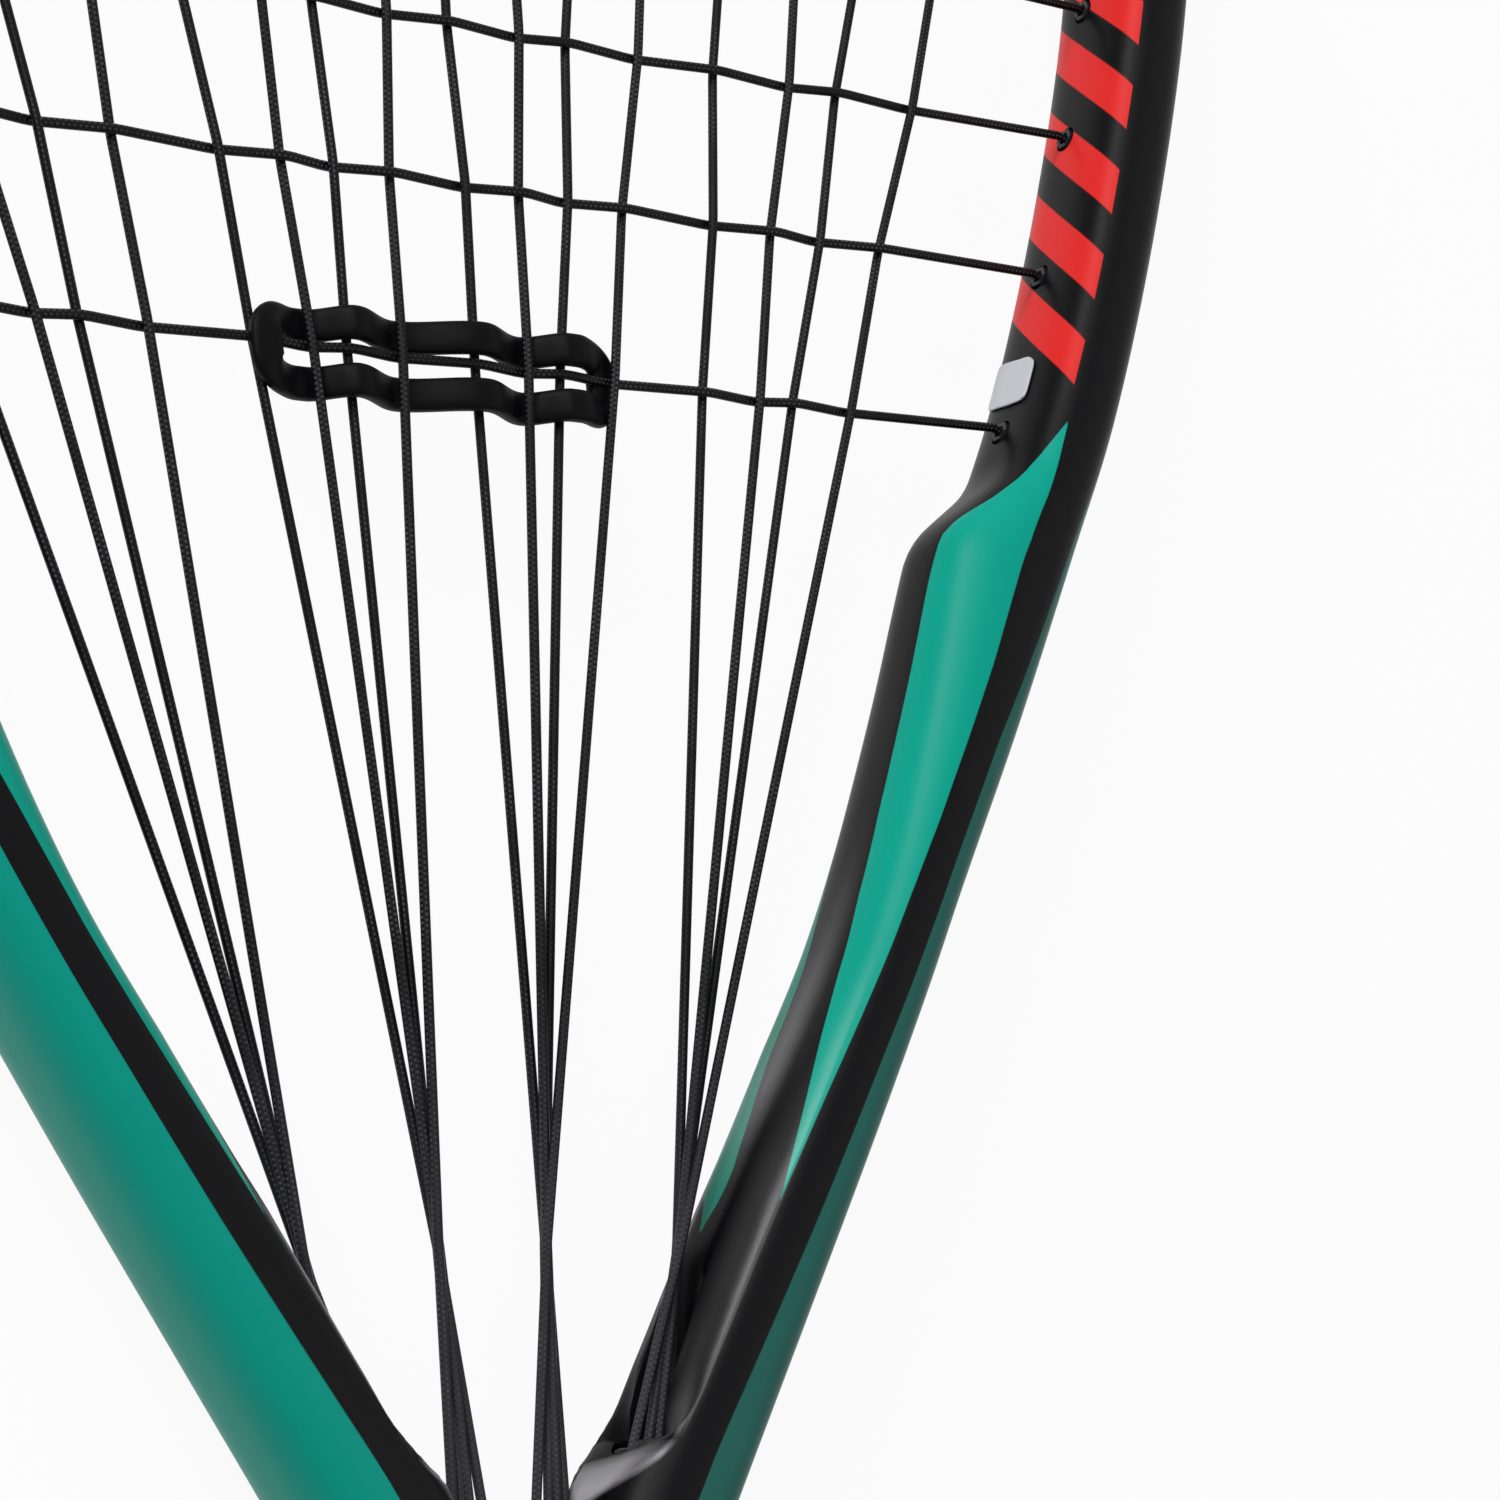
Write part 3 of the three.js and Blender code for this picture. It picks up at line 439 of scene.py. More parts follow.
def linear(c):
    return ((c / 255 + 0.055) / 1.055) ** 2.4 if c > 10 else c / 255 / 12.92


def srgb(r, g, b):
    return (linear(r), linear(g), linear(b), 1.0)


class Nodes:
    """Short way to build a shader tree."""

    def __init__(self, name):
        self.material = bpy.data.materials.new(name)
        self.material.use_nodes = True
        self.tree = self.material.node_tree
        self.tree.nodes.clear()
        self.output = self.tree.nodes.new("ShaderNodeOutputMaterial")

    def put(self, socket, value):
        if isinstance(value, bpy.types.NodeSocket):
            self.tree.links.new(value, socket)
        else:
            socket.default_value = value

    def new(self, kind, inputs=(), **settings):
        node = self.tree.nodes.new(kind)
        for key, value in settings.items():
            setattr(node, key, value)
        for key, value in dict(inputs).items():
            self.put(node.inputs[key], value)
        return node

    def math(self, operation, *values, clamp=False):
        node = self.tree.nodes.new("ShaderNodeMath")
        node.operation = operation
        node.use_clamp = clamp
        for socket, value in zip(node.inputs, values):
            self.put(socket, value)
        return node.outputs[0]

    def soft_step(self, value, edge, width):
        """Rises from 0 to 1 as value passes edge, over the given width."""
        return self.math("DIVIDE", self.math("SUBTRACT", value, edge), width, clamp=True)

    def inverse(self, value):
        return self.math("SUBTRACT", 1.0, value)

    def product(self, first, *others):
        for other in others:
            first = self.math("MULTIPLY", first, other)
        return first

    def between(self, value, low, rise, high, fall):
        """1 from low to high, with a soft rise after low and a soft fall after high."""
        return self.product(self.soft_step(value, low, rise), self.inverse(self.soft_step(value, high, fall)))

    def mix(self, factor, a, b):
        node = self.tree.nodes.new("ShaderNodeMix")
        node.data_type = "RGBA"
        self.put(node.inputs[0], factor)
        self.put(node.inputs[6], a)
        self.put(node.inputs[7], b)
        return node.outputs[2]

    def skin(self):
        """Distance along the piece in metres and turn round it."""
        uv = self.new("ShaderNodeUVMap", uv_map="skin").outputs[0]
        return self.new("ShaderNodeSeparateXYZ", {"Vector": uv}).outputs[:2]

    def point(self):
        """X, Y and Z of the shaded point in metres."""
        where = self.new("ShaderNodeTexCoord").outputs["Object"]
        return self.new("ShaderNodeSeparateXYZ", {"Vector": where}).outputs

    def noise(self, scale, detail=4.0):
        where = self.new("ShaderNodeTexCoord").outputs["Object"]
        inputs = {"Scale": scale, "Detail": detail, "Roughness": 0.6, "Vector": where}
        return self.new("ShaderNodeTexNoise", inputs).outputs["Fac"]

    def spread(self, value, low, high):
        return self.new("ShaderNodeMapRange", {"Value": value, "To Min": low, "To Max": high}).outputs[0]

    def bump(self, height, distance):
        return self.new("ShaderNodeBump", {"Height": height, "Distance": distance, "Strength": 1.0}).outputs[0]

    def curve(self, value, points):
        """Polyline through (x, y) points with x from 0 to 1."""
        node = self.new("ShaderNodeFloatCurve", {"Factor": 1.0, "Value": value})
        line = node.mapping.curves[0]
        node.mapping.clip_min_y = 0
        node.mapping.clip_max_y = 1
        line.points[0].location = points[0]
        line.points[1].location = points[-1]
        for x, y in points[1:-1]:
            line.points.new(x, y)
        for point in line.points:
            point.handle_type = "VECTOR"
        node.mapping.update()
        return node.outputs[0]

    def surface(self, color, roughness, normal, **extra):
        inputs = {"Base Color": color, "Roughness": roughness, "Normal": normal}
        inputs.update((key.replace("_", " "), value) for key, value in extra.items())
        node = self.new("ShaderNodeBsdfPrincipled", inputs)
        self.tree.links.new(node.outputs[0], self.output.inputs[0])
        return self.material


CLOUD_SHARE = 12
ROUGHNESS_SPREAD = 0.06


def plain(name, color, roughness, grain, bump, spread=0.25, **extra):
    """Material with a fine mottle of colour, roughness and height; grain is its scale, bump its height in metres."""
    n = Nodes(name)
    mottle = n.noise(grain)
    broad = n.noise(grain / CLOUD_SHARE, 3.0)
    shade = n.product(n.math("ADD", mottle, broad), 0.5)
    dark = tuple(c * (1 - spread) for c in color[:3]) + (1.0,)
    light = tuple(min(1.0, c * (1 + spread)) for c in color[:3]) + (1.0,)
    rough = n.spread(broad, roughness - ROUGHNESS_SPREAD, roughness + ROUGHNESS_SPREAD)
    return n.surface(n.mix(shade, dark, light), rough, n.bump(mottle, bump), **extra)


# Edges of the painted fields as (distance from the tip in mm, turn round the section)
PATCH_INNER = (
    (290, 0.315), (297, 0.375), (305, 0.412), (311, 0.463), (318, 0.47), (352, 0.469), (364, 0.459),
    (376, 0.433), (388, 0.397), (398, 0.364), (406, 0.336),
)
PATCH_OUTER = (
    (290, 0.315), (296, 0.306), (302, 0.29), (309, 0.28), (328, 0.28), (340, 0.285), (352, 0.293),
    (364, 0.308), (376, 0.318), (392, 0.33), (406, 0.336),
)
BAND_FRONT = (
    (292, 0.12), (298, 0.165), (305, 0.182), (318, 0.2), (337, 0.228), (361, 0.231), (384, 0.242),
    (412, 0.252), (438, 0.262), (470, 0.262),
)
BAND_SIDE = ((292, 0.12), (300, 0.08), (330, 0.03), (370, 0.0), (470, 0.0))
SLIVER_FRONT = (
    (356, 0.6), (366, 0.56), (374, 0.536), (386, 0.525), (392, 0.511), (398, 0.5), (404, 0.491),
    (408, 0.496), (411, 0.505),
)
SLIVER_BACK = ((356, 0.6), (366, 0.63), (392, 0.63), (398, 0.6), (404, 0.56), (408, 0.52), (411, 0.505))
BACK_PATCH_SHIFT = 0.1
S_SCALE = 600.0
MM = 1 / S_SCALE
CRISP = 0.0016
FIELD_END = 0.001

# Slanted red stripes on the inner front of the head, in mm along it and in turns round it
STRIPE_LOW, STRIPE_HIGH = 0.327, 0.62
STRIPE_FROM, STRIPE_TO = 150.0, 284.0
STRIPE_TAIL = 0.5
STRIPE_PITCH = 13.8
STRIPE_SLANT = -26.0
STRIPE_SHARE = 0.52
STRIPE_SOFT = 0.02
STRIPE_END = 0.3
HEAD_INNER_SHARE = 1.2

# Zones of painted sheen as (start, rise, end, fall), in mm from the tip and then in turns round the section: the
# specular level is raised there as painted highlights, and lowered on the walls as painted shade
COVE_ZONE = ((372, 30, 436, 2), (0.338, 0.004, 0.40, 0.06))
EDGE_ZONE = ((388, 14, 435, 3), (0.327, 0.006, 0.336, 0.006))
WALL_ZONE = ((395, 20, 452, 4), (0.42, 0.03, 0.7, 0.03))
CREST_REACH = (350, 34, 390, 18)
CREST_FOLD = (0.445, 0.055)
# Specular levels of the painted sheen: base, painted highlights in the coves and on the edges, painted shade on the
# walls
SHEEN_BASE, SHEEN_COVE, SHEEN_EDGE, PAINTED_WALL_SHADE = 0.09, 0.32, 0.2, 0.065
EDGE_ON_PATCH = 0.7

# Shelf below each outer bundle, with a painted highlight of pale grey and raised specular level: its upper border
# rises with the turn, its lower one is a curve of (turn, distance from the tip in mm)
SHELF_TURN, SHELF_TOP, SHELF_SLOPE = 0.34, 438, 15
SHELF_RISE, SHELF_FALL = 2, 1.2
SHELF_FOOT = (
    (0.0, 0.0), (0.33, 436.0), (0.343, 438.2), (0.357, 440.0), (0.393, 442.5), (0.427, 444.1), (0.473, 445.9),
    (0.51, 447.3), (0.56, 444.0), (0.6, 436.0), (1.0, 0.0),
)
SHELF_FADE, SHELF_LOW = (0.35, 0.12), 0.45
SHELF_LIGHT_RUN = 5
RIDGE_FADE, RIDGE_LIGHT = (0.355, 0.05), 0.6
SHELF_LIGHT_SHARE = 0.95

# Paints as pairs of tones that a fine speck or a broad cloud mixes
BLACKS = (srgb(5, 5, 7), srgb(9, 9, 12))
TEALS = (srgb(6, 158, 138), srgb(10, 166, 145))
# Band teal as lit and shaded copies: bright on the left arm, darker on the right as painted shade
LIT_LEFT_TEALS = (srgb(6, 148, 131), srgb(9, 154, 137))
SHADED_RIGHT_TEALS = (srgb(30, 92, 84), srgb(40, 102, 93))
# Painted highlight of each shelf, from its dark top to its pale foot
SHELF_LIGHT_GREYS = (srgb(36, 35, 38), srgb(138, 135, 141))
SLIVER_TEAL = srgb(2, 128, 108)
RED = srgb(224, 44, 42)
PAINT_SPECK = (900.0, 2.0)
PAINT_CLOUD = (60.0, 3.0)
PAINT_ROUGHNESS = (0.34, 0.42)
PAINT_BUMP = 0.00002


def arc_shares(steps=48):
    """Share of the way round the inner half of the head's section, by turn."""
    inner, height, power = TUBE_HALF * HEAD_INNER_SHARE, TUBE_HEIGHT / 2, 2 / SECTION_EXPONENT
    turns = [0.25 + 0.5 * i / steps for i in range(steps + 1)]
    points = []
    for turn in turns:
        c, d = math.cos(2 * math.pi * turn), math.sin(2 * math.pi * turn)
        points.append(np.array((inner * rounded(c, power), height * rounded(d, power))))
    reach = np.concatenate([[0], np.cumsum([np.linalg.norm(b - a) for a, b in zip(points, points[1:])])])
    return [(0.0, 0.0)] + [(turn, float(way / reach[-1])) for turn, way in zip(turns, reach)] + [(1.0, 1.0)]


def scaled(edge):
    """Edge curve with its distances as shares, carried on to both ends."""
    return [(0.0, edge[0][1])] + [(a / S_SCALE, b) for a, b in edge] + [(1.0, edge[-1][1])]


def frame_paint():
    """Satin black with teal and red fields, whose places come from the tube's own skin, with painted highlights and
    painted shade: a specular level raised or lowered by zone, a pale grey shelf and a darker teal band on the right.
    """
    n = Nodes("frame_paint")
    signed, turn = n.skin()
    s = n.math("MULTIPLY", n.math("ABSOLUTE", signed), 1000 / S_SCALE)
    folded = n.math("SUBTRACT", 0.5, n.math("ABSOLUTE", n.math("SUBTRACT", turn, 0.5)))

    def field(low, high, at):
        """1 between two edge curves, within their range along the tube."""
        above = n.soft_step(n.math("ADD", at, CRISP), n.curve(s, scaled(low)), CRISP)
        below = n.inverse(n.soft_step(at, n.curve(s, scaled(high)), CRISP))
        within = n.between(s, low[0][0] / S_SCALE, FIELD_END, low[-1][0] / S_SCALE, FIELD_END)
        return n.product(above, below, within)

    def along(reach):
        return n.between(s, *(way * MM for way in reach))

    def zone(reach, turns):
        return n.product(along(reach), n.between(turn, *turns))

    behind = n.product(n.math("GREATER_THAN", turn, 0.5), BACK_PATCH_SHIFT)
    patch = field(PATCH_OUTER, PATCH_INNER, n.math("ADD", folded, behind))
    band = field(BAND_SIDE, BAND_FRONT, folded)
    sliver = field(SLIVER_FRONT, SLIVER_BACK, turn)

    way = arc_shares()
    start_share = float(np.interp(STRIPE_LOW, *zip(*way)))
    lean = n.product(n.math("SUBTRACT", n.curve(turn, way), start_share), STRIPE_SLANT)
    slanted = n.math("SUBTRACT", n.product(s, S_SCALE), lean)
    first = STRIPE_TO - STRIPE_PITCH * STRIPE_SHARE
    phase = n.math("FRACT", n.math("DIVIDE", n.math("SUBTRACT", slanted, first), STRIPE_PITCH))
    red = n.product(
        n.between(phase, 0.0, STRIPE_SOFT, STRIPE_SHARE, STRIPE_SOFT),
        n.between(turn, STRIPE_LOW, CRISP, STRIPE_HIGH, CRISP),
        n.between(slanted, STRIPE_FROM, STRIPE_END, STRIPE_TO + STRIPE_TAIL, STRIPE_END),
    )

    # Painted sheen: specular level raised as painted highlights in the coves, on their edges, crests and shelves, and
    # lowered as painted shade on the walls
    rising = n.product(n.math("SUBTRACT", turn, SHELF_TURN), SHELF_SLOPE * MM)
    top = n.math("ADD", rising, SHELF_TOP * MM)
    foot = n.curve(turn, [(at, way * MM) for at, way in SHELF_FOOT])
    shelf_highlight = n.product(
        n.between(s, top, SHELF_RISE * MM, foot, SHELF_FALL * MM),
        n.spread(n.soft_step(turn, *SHELF_FADE), SHELF_LOW, 1.0),
    )
    # Painted highlight along the crest of the inner wall
    crest_highlight = n.math("POWER", n.product(along(CREST_REACH), n.soft_step(folded, *CREST_FOLD)), 2.0)
    edge = n.product(zone(*EDGE_ZONE), n.inverse(n.product(patch, EDGE_ON_PATCH)))
    wall_shade = n.product(zone(*WALL_ZONE), n.inverse(shelf_highlight))
    painted_sheen = n.math("ADD", n.product(zone(*COVE_ZONE), SHEEN_COVE), n.product(edge, SHEEN_EDGE))
    painted_sheen = n.math("ADD", painted_sheen, n.math("MAXIMUM", crest_highlight, shelf_highlight))
    painted_sheen = n.math("SUBTRACT", n.math("ADD", painted_sheen, SHEEN_BASE), n.product(wall_shade, PAINTED_WALL_SHADE), clamp=True)

    speck, broad = n.noise(*PAINT_SPECK), n.noise(*PAINT_CLOUD)
    # Painted highlight on the shelf: brighter toward its foot and along the ridge
    ridge_light = n.product(n.inverse(n.soft_step(turn, *RIDGE_FADE)), RIDGE_LIGHT)
    lit = n.math("ADD", n.soft_step(s, top, SHELF_LIGHT_RUN * MM), ridge_light, clamp=True)
    # Band teal with painted shade on the right arm
    on_right = n.math("GREATER_THAN", signed, 0.0)
    band_shaded_on_right = n.mix(on_right, n.mix(broad, *LIT_LEFT_TEALS), n.mix(broad, *SHADED_RIGHT_TEALS))
    # Shelf painted pale grey as a painted highlight
    color = n.mix(n.product(shelf_highlight, SHELF_LIGHT_SHARE), n.mix(speck, *BLACKS), n.mix(lit, *SHELF_LIGHT_GREYS))
    for mask, paint in ((patch, n.mix(broad, *TEALS)), (sliver, SLIVER_TEAL), (band, band_shaded_on_right), (red, RED)):
        color = n.mix(mask, color, paint)
    rough = n.spread(broad, *PAINT_ROUGHNESS)
    return n.surface(color, rough, n.bump(speck, PAINT_BUMP), Specular_IOR_Level=painted_sheen)


def string_material():
    """Black cord with small pale beads in staggered rows round it, paler toward the throat."""
    n = Nodes("string_gloss")
    along, around = n.skin()
    pitch, rows, bead, soft = 0.68, 6.0, 0.18, 0.16
    pale_from, pale_run = 0.01, 0.05
    patch_from, patch_run, faint, clear = 0.4, 0.25, 0.1, 0.62
    row = n.product(around, rows)
    stagger = n.product(n.math("MODULO", n.math("FLOOR", row), 2.0), 0.5)
    step = n.math("ADD", n.product(along, 1000 / pitch), stagger)
    a = n.math("SUBTRACT", n.math("FRACT", step), 0.5)
    b = n.math("SUBTRACT", n.math("FRACT", row), 0.5)
    off = n.math("SQRT", n.math("ADD", n.product(a, a), n.product(b, b)))
    beads = n.inverse(n.soft_step(off, bead, soft))
    patchy = n.soft_step(n.noise(90.0, 3.0), patch_from, patch_run)
    shown = n.product(beads, n.spread(patchy, faint, clear))
    # Base colour grows paler toward the throat
    toward_throat = n.soft_step(n.product(n.point()[1], -1.0), pale_from, pale_run)
    base = n.mix(toward_throat, srgb(8, 8, 10), srgb(52, 51, 55))
    color = n.mix(shown, base, srgb(92, 93, 98))
    return n.surface(color, 0.42, n.bump(beads, 0.00005), Specular_IOR_Level=0.1)


def grip_material():
    """Tacky rubber with the lapped seam of its spiral and fine ribs beside it."""
    n = Nodes("grip_rubber")
    x, y, z = n.point()
    pitch, ribs, seam_share = 0.025, 9.0, 0.05
    axis_height = (GRIP_HALF_HEIGHT + CAP_FLARE) / 1000
    angle = n.math("ARCTAN2", n.math("SUBTRACT", z, axis_height), x)
    along = n.math("ADD", n.math("DIVIDE", y, pitch), n.math("DIVIDE", angle, 2 * math.pi))
    seam = n.inverse(n.soft_step(n.math("FRACT", along), 0.0, seam_share))
    rib = n.math("ABSOLUTE", n.math("SUBTRACT", n.math("FRACT", n.product(along, ribs)), 0.5))
    grain = n.noise(900.0)
    shade = n.math("ADD", n.product(rib, 1.2), n.product(grain, 0.4), clamp=True)
    color = n.mix(seam, n.mix(shade, srgb(20, 20, 22), srgb(36, 36, 39)), srgb(6, 6, 7))
    height = n.math("SUBTRACT", n.math("ADD", rib, n.product(grain, 0.3)), seam)
    return n.surface(color, n.spread(grain, 0.62, 0.8), n.bump(height, 0.0003), Specular_IOR_Level=0.15)


FRAME_PAINT = frame_paint()
CUT_BLACK = plain("cut_black", srgb(8, 8, 10), 0.6, 500.0, 0.00002, Specular_IOR_Level=0.15)
STRING = string_material()
RUBBER = plain("damper_rubber", srgb(6, 6, 8), 0.45, 700.0, 0.00004, Specular_IOR_Level=0.06)
NYLON = plain("grommet_nylon", srgb(30, 30, 33), 0.45, 800.0, 0.00003, Specular_IOR_Level=0.3)
GUARD = plain("guard_nylon", srgb(14, 14, 16), 0.55, 600.0, 0.00003, Specular_IOR_Level=0.15)
FOAM = plain("handle_foam", srgb(64, 64, 62), 0.85, 300.0, 0.0001)
GRIP = grip_material()
TAPE = plain("tape_vinyl", srgb(24, 24, 25), 0.5, 1200.0, 0.00004, Specular_IOR_Level=0.15)
COLLAR = plain("collar_rubber", srgb(24, 24, 26), 0.55, 700.0, 0.00003, Specular_IOR_Level=0.15)
CAP = plain("cap_plastic", srgb(28, 28, 31), 0.6, 1100.0, 0.00005, Specular_IOR_Level=0.15)
STEEL = plain("staple_steel", srgb(200, 202, 205), 0.3, 500.0, 0.00001, spread=0.06, Metallic=1.0)
LABEL = plain("label_film", srgb(196, 198, 204), 0.45, 400.0, 0.00001, spread=0.05)


def finish_piece(obj, materials):
    """Dresses a new piece and lets it ride on the racket."""
    for material in materials:
        obj.data.materials.append(material)
    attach(obj, "root")
    return obj


def dress(node, material):
    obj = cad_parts[node]
    obj.data.materials.clear()
    obj.data.materials.append(material)


# Strings


def string_layout():
    """Straight runs of the mains above the throat, with where each pinches its bundle and where it ends."""
    mains = []
    groups = (
        (MIDDLE_SHARES, MIDDLE_HOLE_X, MIDDLE_HOLE_PITCH, SADDLE_TOP_Y, MAIN_COUNT - 2 * BUNDLE, MIDDLE_FEET),
        (OUTER_SHARES, OUTER_HOLE_X, OUTER_HOLE_PITCH, OUTER_HOLE_Y, MAIN_COUNT - BUNDLE, OUTER_FEET),
    )
    low = distance_at(LOW_CROSS_Y)
    for shares, hole_x, pitch, hole_y, before, (foot_x, foot_pitch, level) in groups:
        for i, share in enumerate(shares):
            number = before + 1 + i
            x = hole_x - pitch * i
            slope = (HEAD_HALF_WIDTH * share - x) / (LOW_CROSS_Y - hole_y)

            def off(s, x=x, y=hole_y, slope=slope):
                p = wall(s)
                return p[0] - x - slope * (p[1] - y)

            lane = LANE_SHARES[i] * LANE_LIFT
            pinched = x + slope * (PINCH_Y - hole_y) - lane * LANE_LEAN
            for side in (1, -1):
                mains.append({
                    "number": number if side > 0 else MAIN_COUNT + 1 - number,
                    "base": (side * x, hole_y),
                    "slope": side * slope,
                    "distance": side * search(off, 0, low),
                    "foot": np.array((side * (foot_x - foot_pitch * FOOT_SHARES[i]), hole_y, level)),
                    "pinch": np.array((side * pinched, PINCH_Y, side * lane + level)),
                })
    return sorted(mains, key=lambda m: m["number"])


MAINS = string_layout()
CROSSES = [LOW_CROSS_Y]
for share in PITCH_SHARES:
    CROSSES.append(CROSSES[-1] + FIRST_CROSS_PITCH * share)
LOW_REACH = distance_at(LOW_CROSS_Y - FIRST_CROSS_PITCH)
CROSS_DISTANCES = [search(lambda s, y=y: wall(s)[1] - y, 0, LOW_REACH) for y in CROSSES]
LOOP_LINE = TUBE_HALF - GROOVE_DEPTH + 2 * CLEARANCE + STRIP_THICKNESS + STRING_RADIUS


def main_x(main, y):
    return main["base"][0] + main["slope"] * (y - main["base"][1])


def in_front(main, row):
    """1 where the main runs in front of the cross, and -1 where it runs behind."""
    return 1 if (main["number"] + row) % 2 == 0 else -1


def meets(main, row):
    """Whether the cross is still below the hole that the main ends in."""
    return CROSSES[row] < wall(main["distance"])[1] - HOLE_MARGIN


def head_end(distance, z):
    """Points of a string that leaves the bed through its hole, down to the groove."""
    inner = inner_half(spine_frame(distance)[0][1]) + BARREL_PROUD + MOUTH_RUN
    return [beside(distance, -inner, z), beside(distance, -inner + MOUTH_RUN, z), beside(distance, LOOP_LINE, z)]


def woven(points):
    """Straight between neighbouring crossings, with a short rounding at each."""
    out = [points[0]]
    for before, p, after in zip(points, points[1:], points[2:]):
        for end in (before, after):
            run = (end - p) * (WEAVE_ROUND / np.linalg.norm(end - p))
            q = p + run
            q[2] = p[2] + run[2] * WEAVE_EASE
            out.append(q)
        out.insert(-1, p)
    return out + [points[-1]]


def main_run(main):
    """One run of the main string, from its loop at the throat to the groove."""
    foot, pinch = main["foot"], main["pinch"]
    down = (foot - pinch) / np.linalg.norm(foot - pinch)
    bed = [foot, pinch]
    for row, height in enumerate(CROSSES):
        if meets(main, row):
            bed.append(np.array((main_x(main, height), height, in_front(main, row) * WEAVE_LIFT)))
    ends = head_end(main["distance"], HOLE_LIFT)
    return [foot + down * (INSERT_DEPTH + LOOP_DEPTH / 2)] + woven(bed + ends[:1]) + ends[1:]


def groove_loop(a, b, z):
    count = max(3, round(abs(b - a) / GROOVE_LOOP_STEP))
    return [beside(a + (b - a) * i / count, LOOP_LINE, z) for i in range(1, count)]


def throat_loop(a, b):
    """Half circle below the feet of two runs, which joins them."""
    start, end = a[0], b[0]
    middle, span = (start + end) / 2, (end - start) / 2
    down = start - a[1]
    down *= np.linalg.norm(span) / np.linalg.norm(down)
    angles = [math.pi * i / THROAT_LOOP_STEPS for i in range(1, THROAT_LOOP_STEPS)]
    return [middle - span * math.cos(angle) + down * math.sin(angle) for angle in angles]


def main_string_points():
    runs = [main_run(m) for m in MAINS]
    points = [beside(MAINS[0]["distance"] + TAIL_LENGTH, LOOP_LINE, HOLE_LIFT)]
    for i in range(0, MAIN_COUNT, 2):
        points += runs[i][::-1] + throat_loop(runs[i], runs[i + 1]) + runs[i + 1]
        if i + 2 < MAIN_COUNT:
            points += groove_loop(MAINS[i + 1]["distance"], MAINS[i + 2]["distance"], HOLE_LIFT)
    points.append(beside(MAINS[-1]["distance"] - TAIL_LENGTH, LOOP_LINE, HOLE_LIFT))
    return points


def cross_string_points():
    points = [beside(-CROSS_DISTANCES[0] + TAIL_LENGTH, LOOP_LINE, -HOLE_LIFT)]
    for row, y in enumerate(CROSSES):
        s = CROSS_DISTANCES[row]
        middle = [np.array((main_x(m, y), y, -in_front(m, row) * WEAVE_LIFT)) for m in MAINS if meets(m, row)]
        left, right = head_end(-s, -HOLE_LIFT), head_end(s, -HOLE_LIFT)
        run = left[::-1][:2] + woven([left[0]] + middle + [right[0]]) + right[1:]
        forward = row % 2 == 0
        points += run if forward else run[::-1]
        if row + 1 < len(CROSSES):
            sign = 1 if forward else -1
            points += groove_loop(sign * s, sign * CROSS_DISTANCES[row + 1], -HOLE_LIFT)
    points.append(beside(-CROSS_DISTANCES[-1] + TAIL_LENGTH, LOOP_LINE, -HOLE_LIFT))
    return points


def cord_mesh(name, points, radius, sides):
    """Round cord through points, whose uv holds the way along it in metres and the turn round it."""
    points = [np.asarray(p, float) for p in points]
    along = [0.0]
    for a, b in zip(points, points[1:]):
        along.append(along[-1] + np.linalg.norm(b - a) / 1000)
    rings = []
    normal = np.array((0, 0, 1.0))
    for i, p in enumerate(points):
        before, after = points[max(i - 1, 0)], points[min(i + 1, len(points) - 1)]
        t = np.zeros(3)
        for d in (p - before, after - p):
            if np.linalg.norm(d) > 0:
                t += d / np.linalg.norm(d)
        t /= np.linalg.norm(t)
        normal = normal - t * normal.dot(t)
        normal /= np.linalg.norm(normal)
        side = np.cross(t, normal)
        rings.append([p + radius * (c * normal + d * side) for c, d in circle(sides)])
    vertices, faces, uvs = loft(rings, along=along)
    return outward_faces(mesh_piece(name, vertices, faces, uvs))


# Frame tube


def tube_ring(s):
    """Section of the tube at a distance from the tip, with its recess, slot and coves."""
    point, outward = spine_frame(s)
    y = point[1]
    inner, outer, height = inner_half(y), outer_half(y), tube_height(y) / 2
    power = 2 / SECTION_EXPONENT
    tables = (RECESS_DEPTHS, RECESS_HALVES, SLOT_DEPTHS, COVE_DEPTHS)
    depth, recess, slot, cove = (float(np.interp(abs(s), *zip(*table))) for table in tables)
    ring = []
    for c, d in circle(SIDES):
        u = (outer if c > 0 else inner) * rounded(c, power)
        z = height * rounded(d, power)
        if c < 0:
            hollow = depth * max(0, 1 - (z / recess) ** 2)
            u += max(hollow, slot * (1 - (abs(z) / SLOT_HALF) ** SLOT_EXPONENT))
        if c < 0 and abs(abs(z) - COVE_MIDDLE) < COVE_HALF:
            u += cove * (1 - ((abs(z) - COVE_MIDDLE) / COVE_HALF) ** 2)
        ring.append(point + outward * u + np.array((0, 0, z)))
    return ring


def tube_stations():
    """Distances of the tube's rings, closer together along the arms."""
    marks = [0, FINE_FROM, SEAT_NEAR, SEAT_FAR, FINE_TO, SPINE_LENGTH / 2]
    half = [0.0]
    for low, high, step in zip(marks, marks[1:], (COARSE_STEP, FINE_STEP, FINE_STEP, FINE_STEP, COARSE_STEP)):
        count = round((high - low) / step)
        half += [low + (high - low) * i / count for i in range(1, count + 1)]
    return [-v for v in reversed(half[1:])] + half


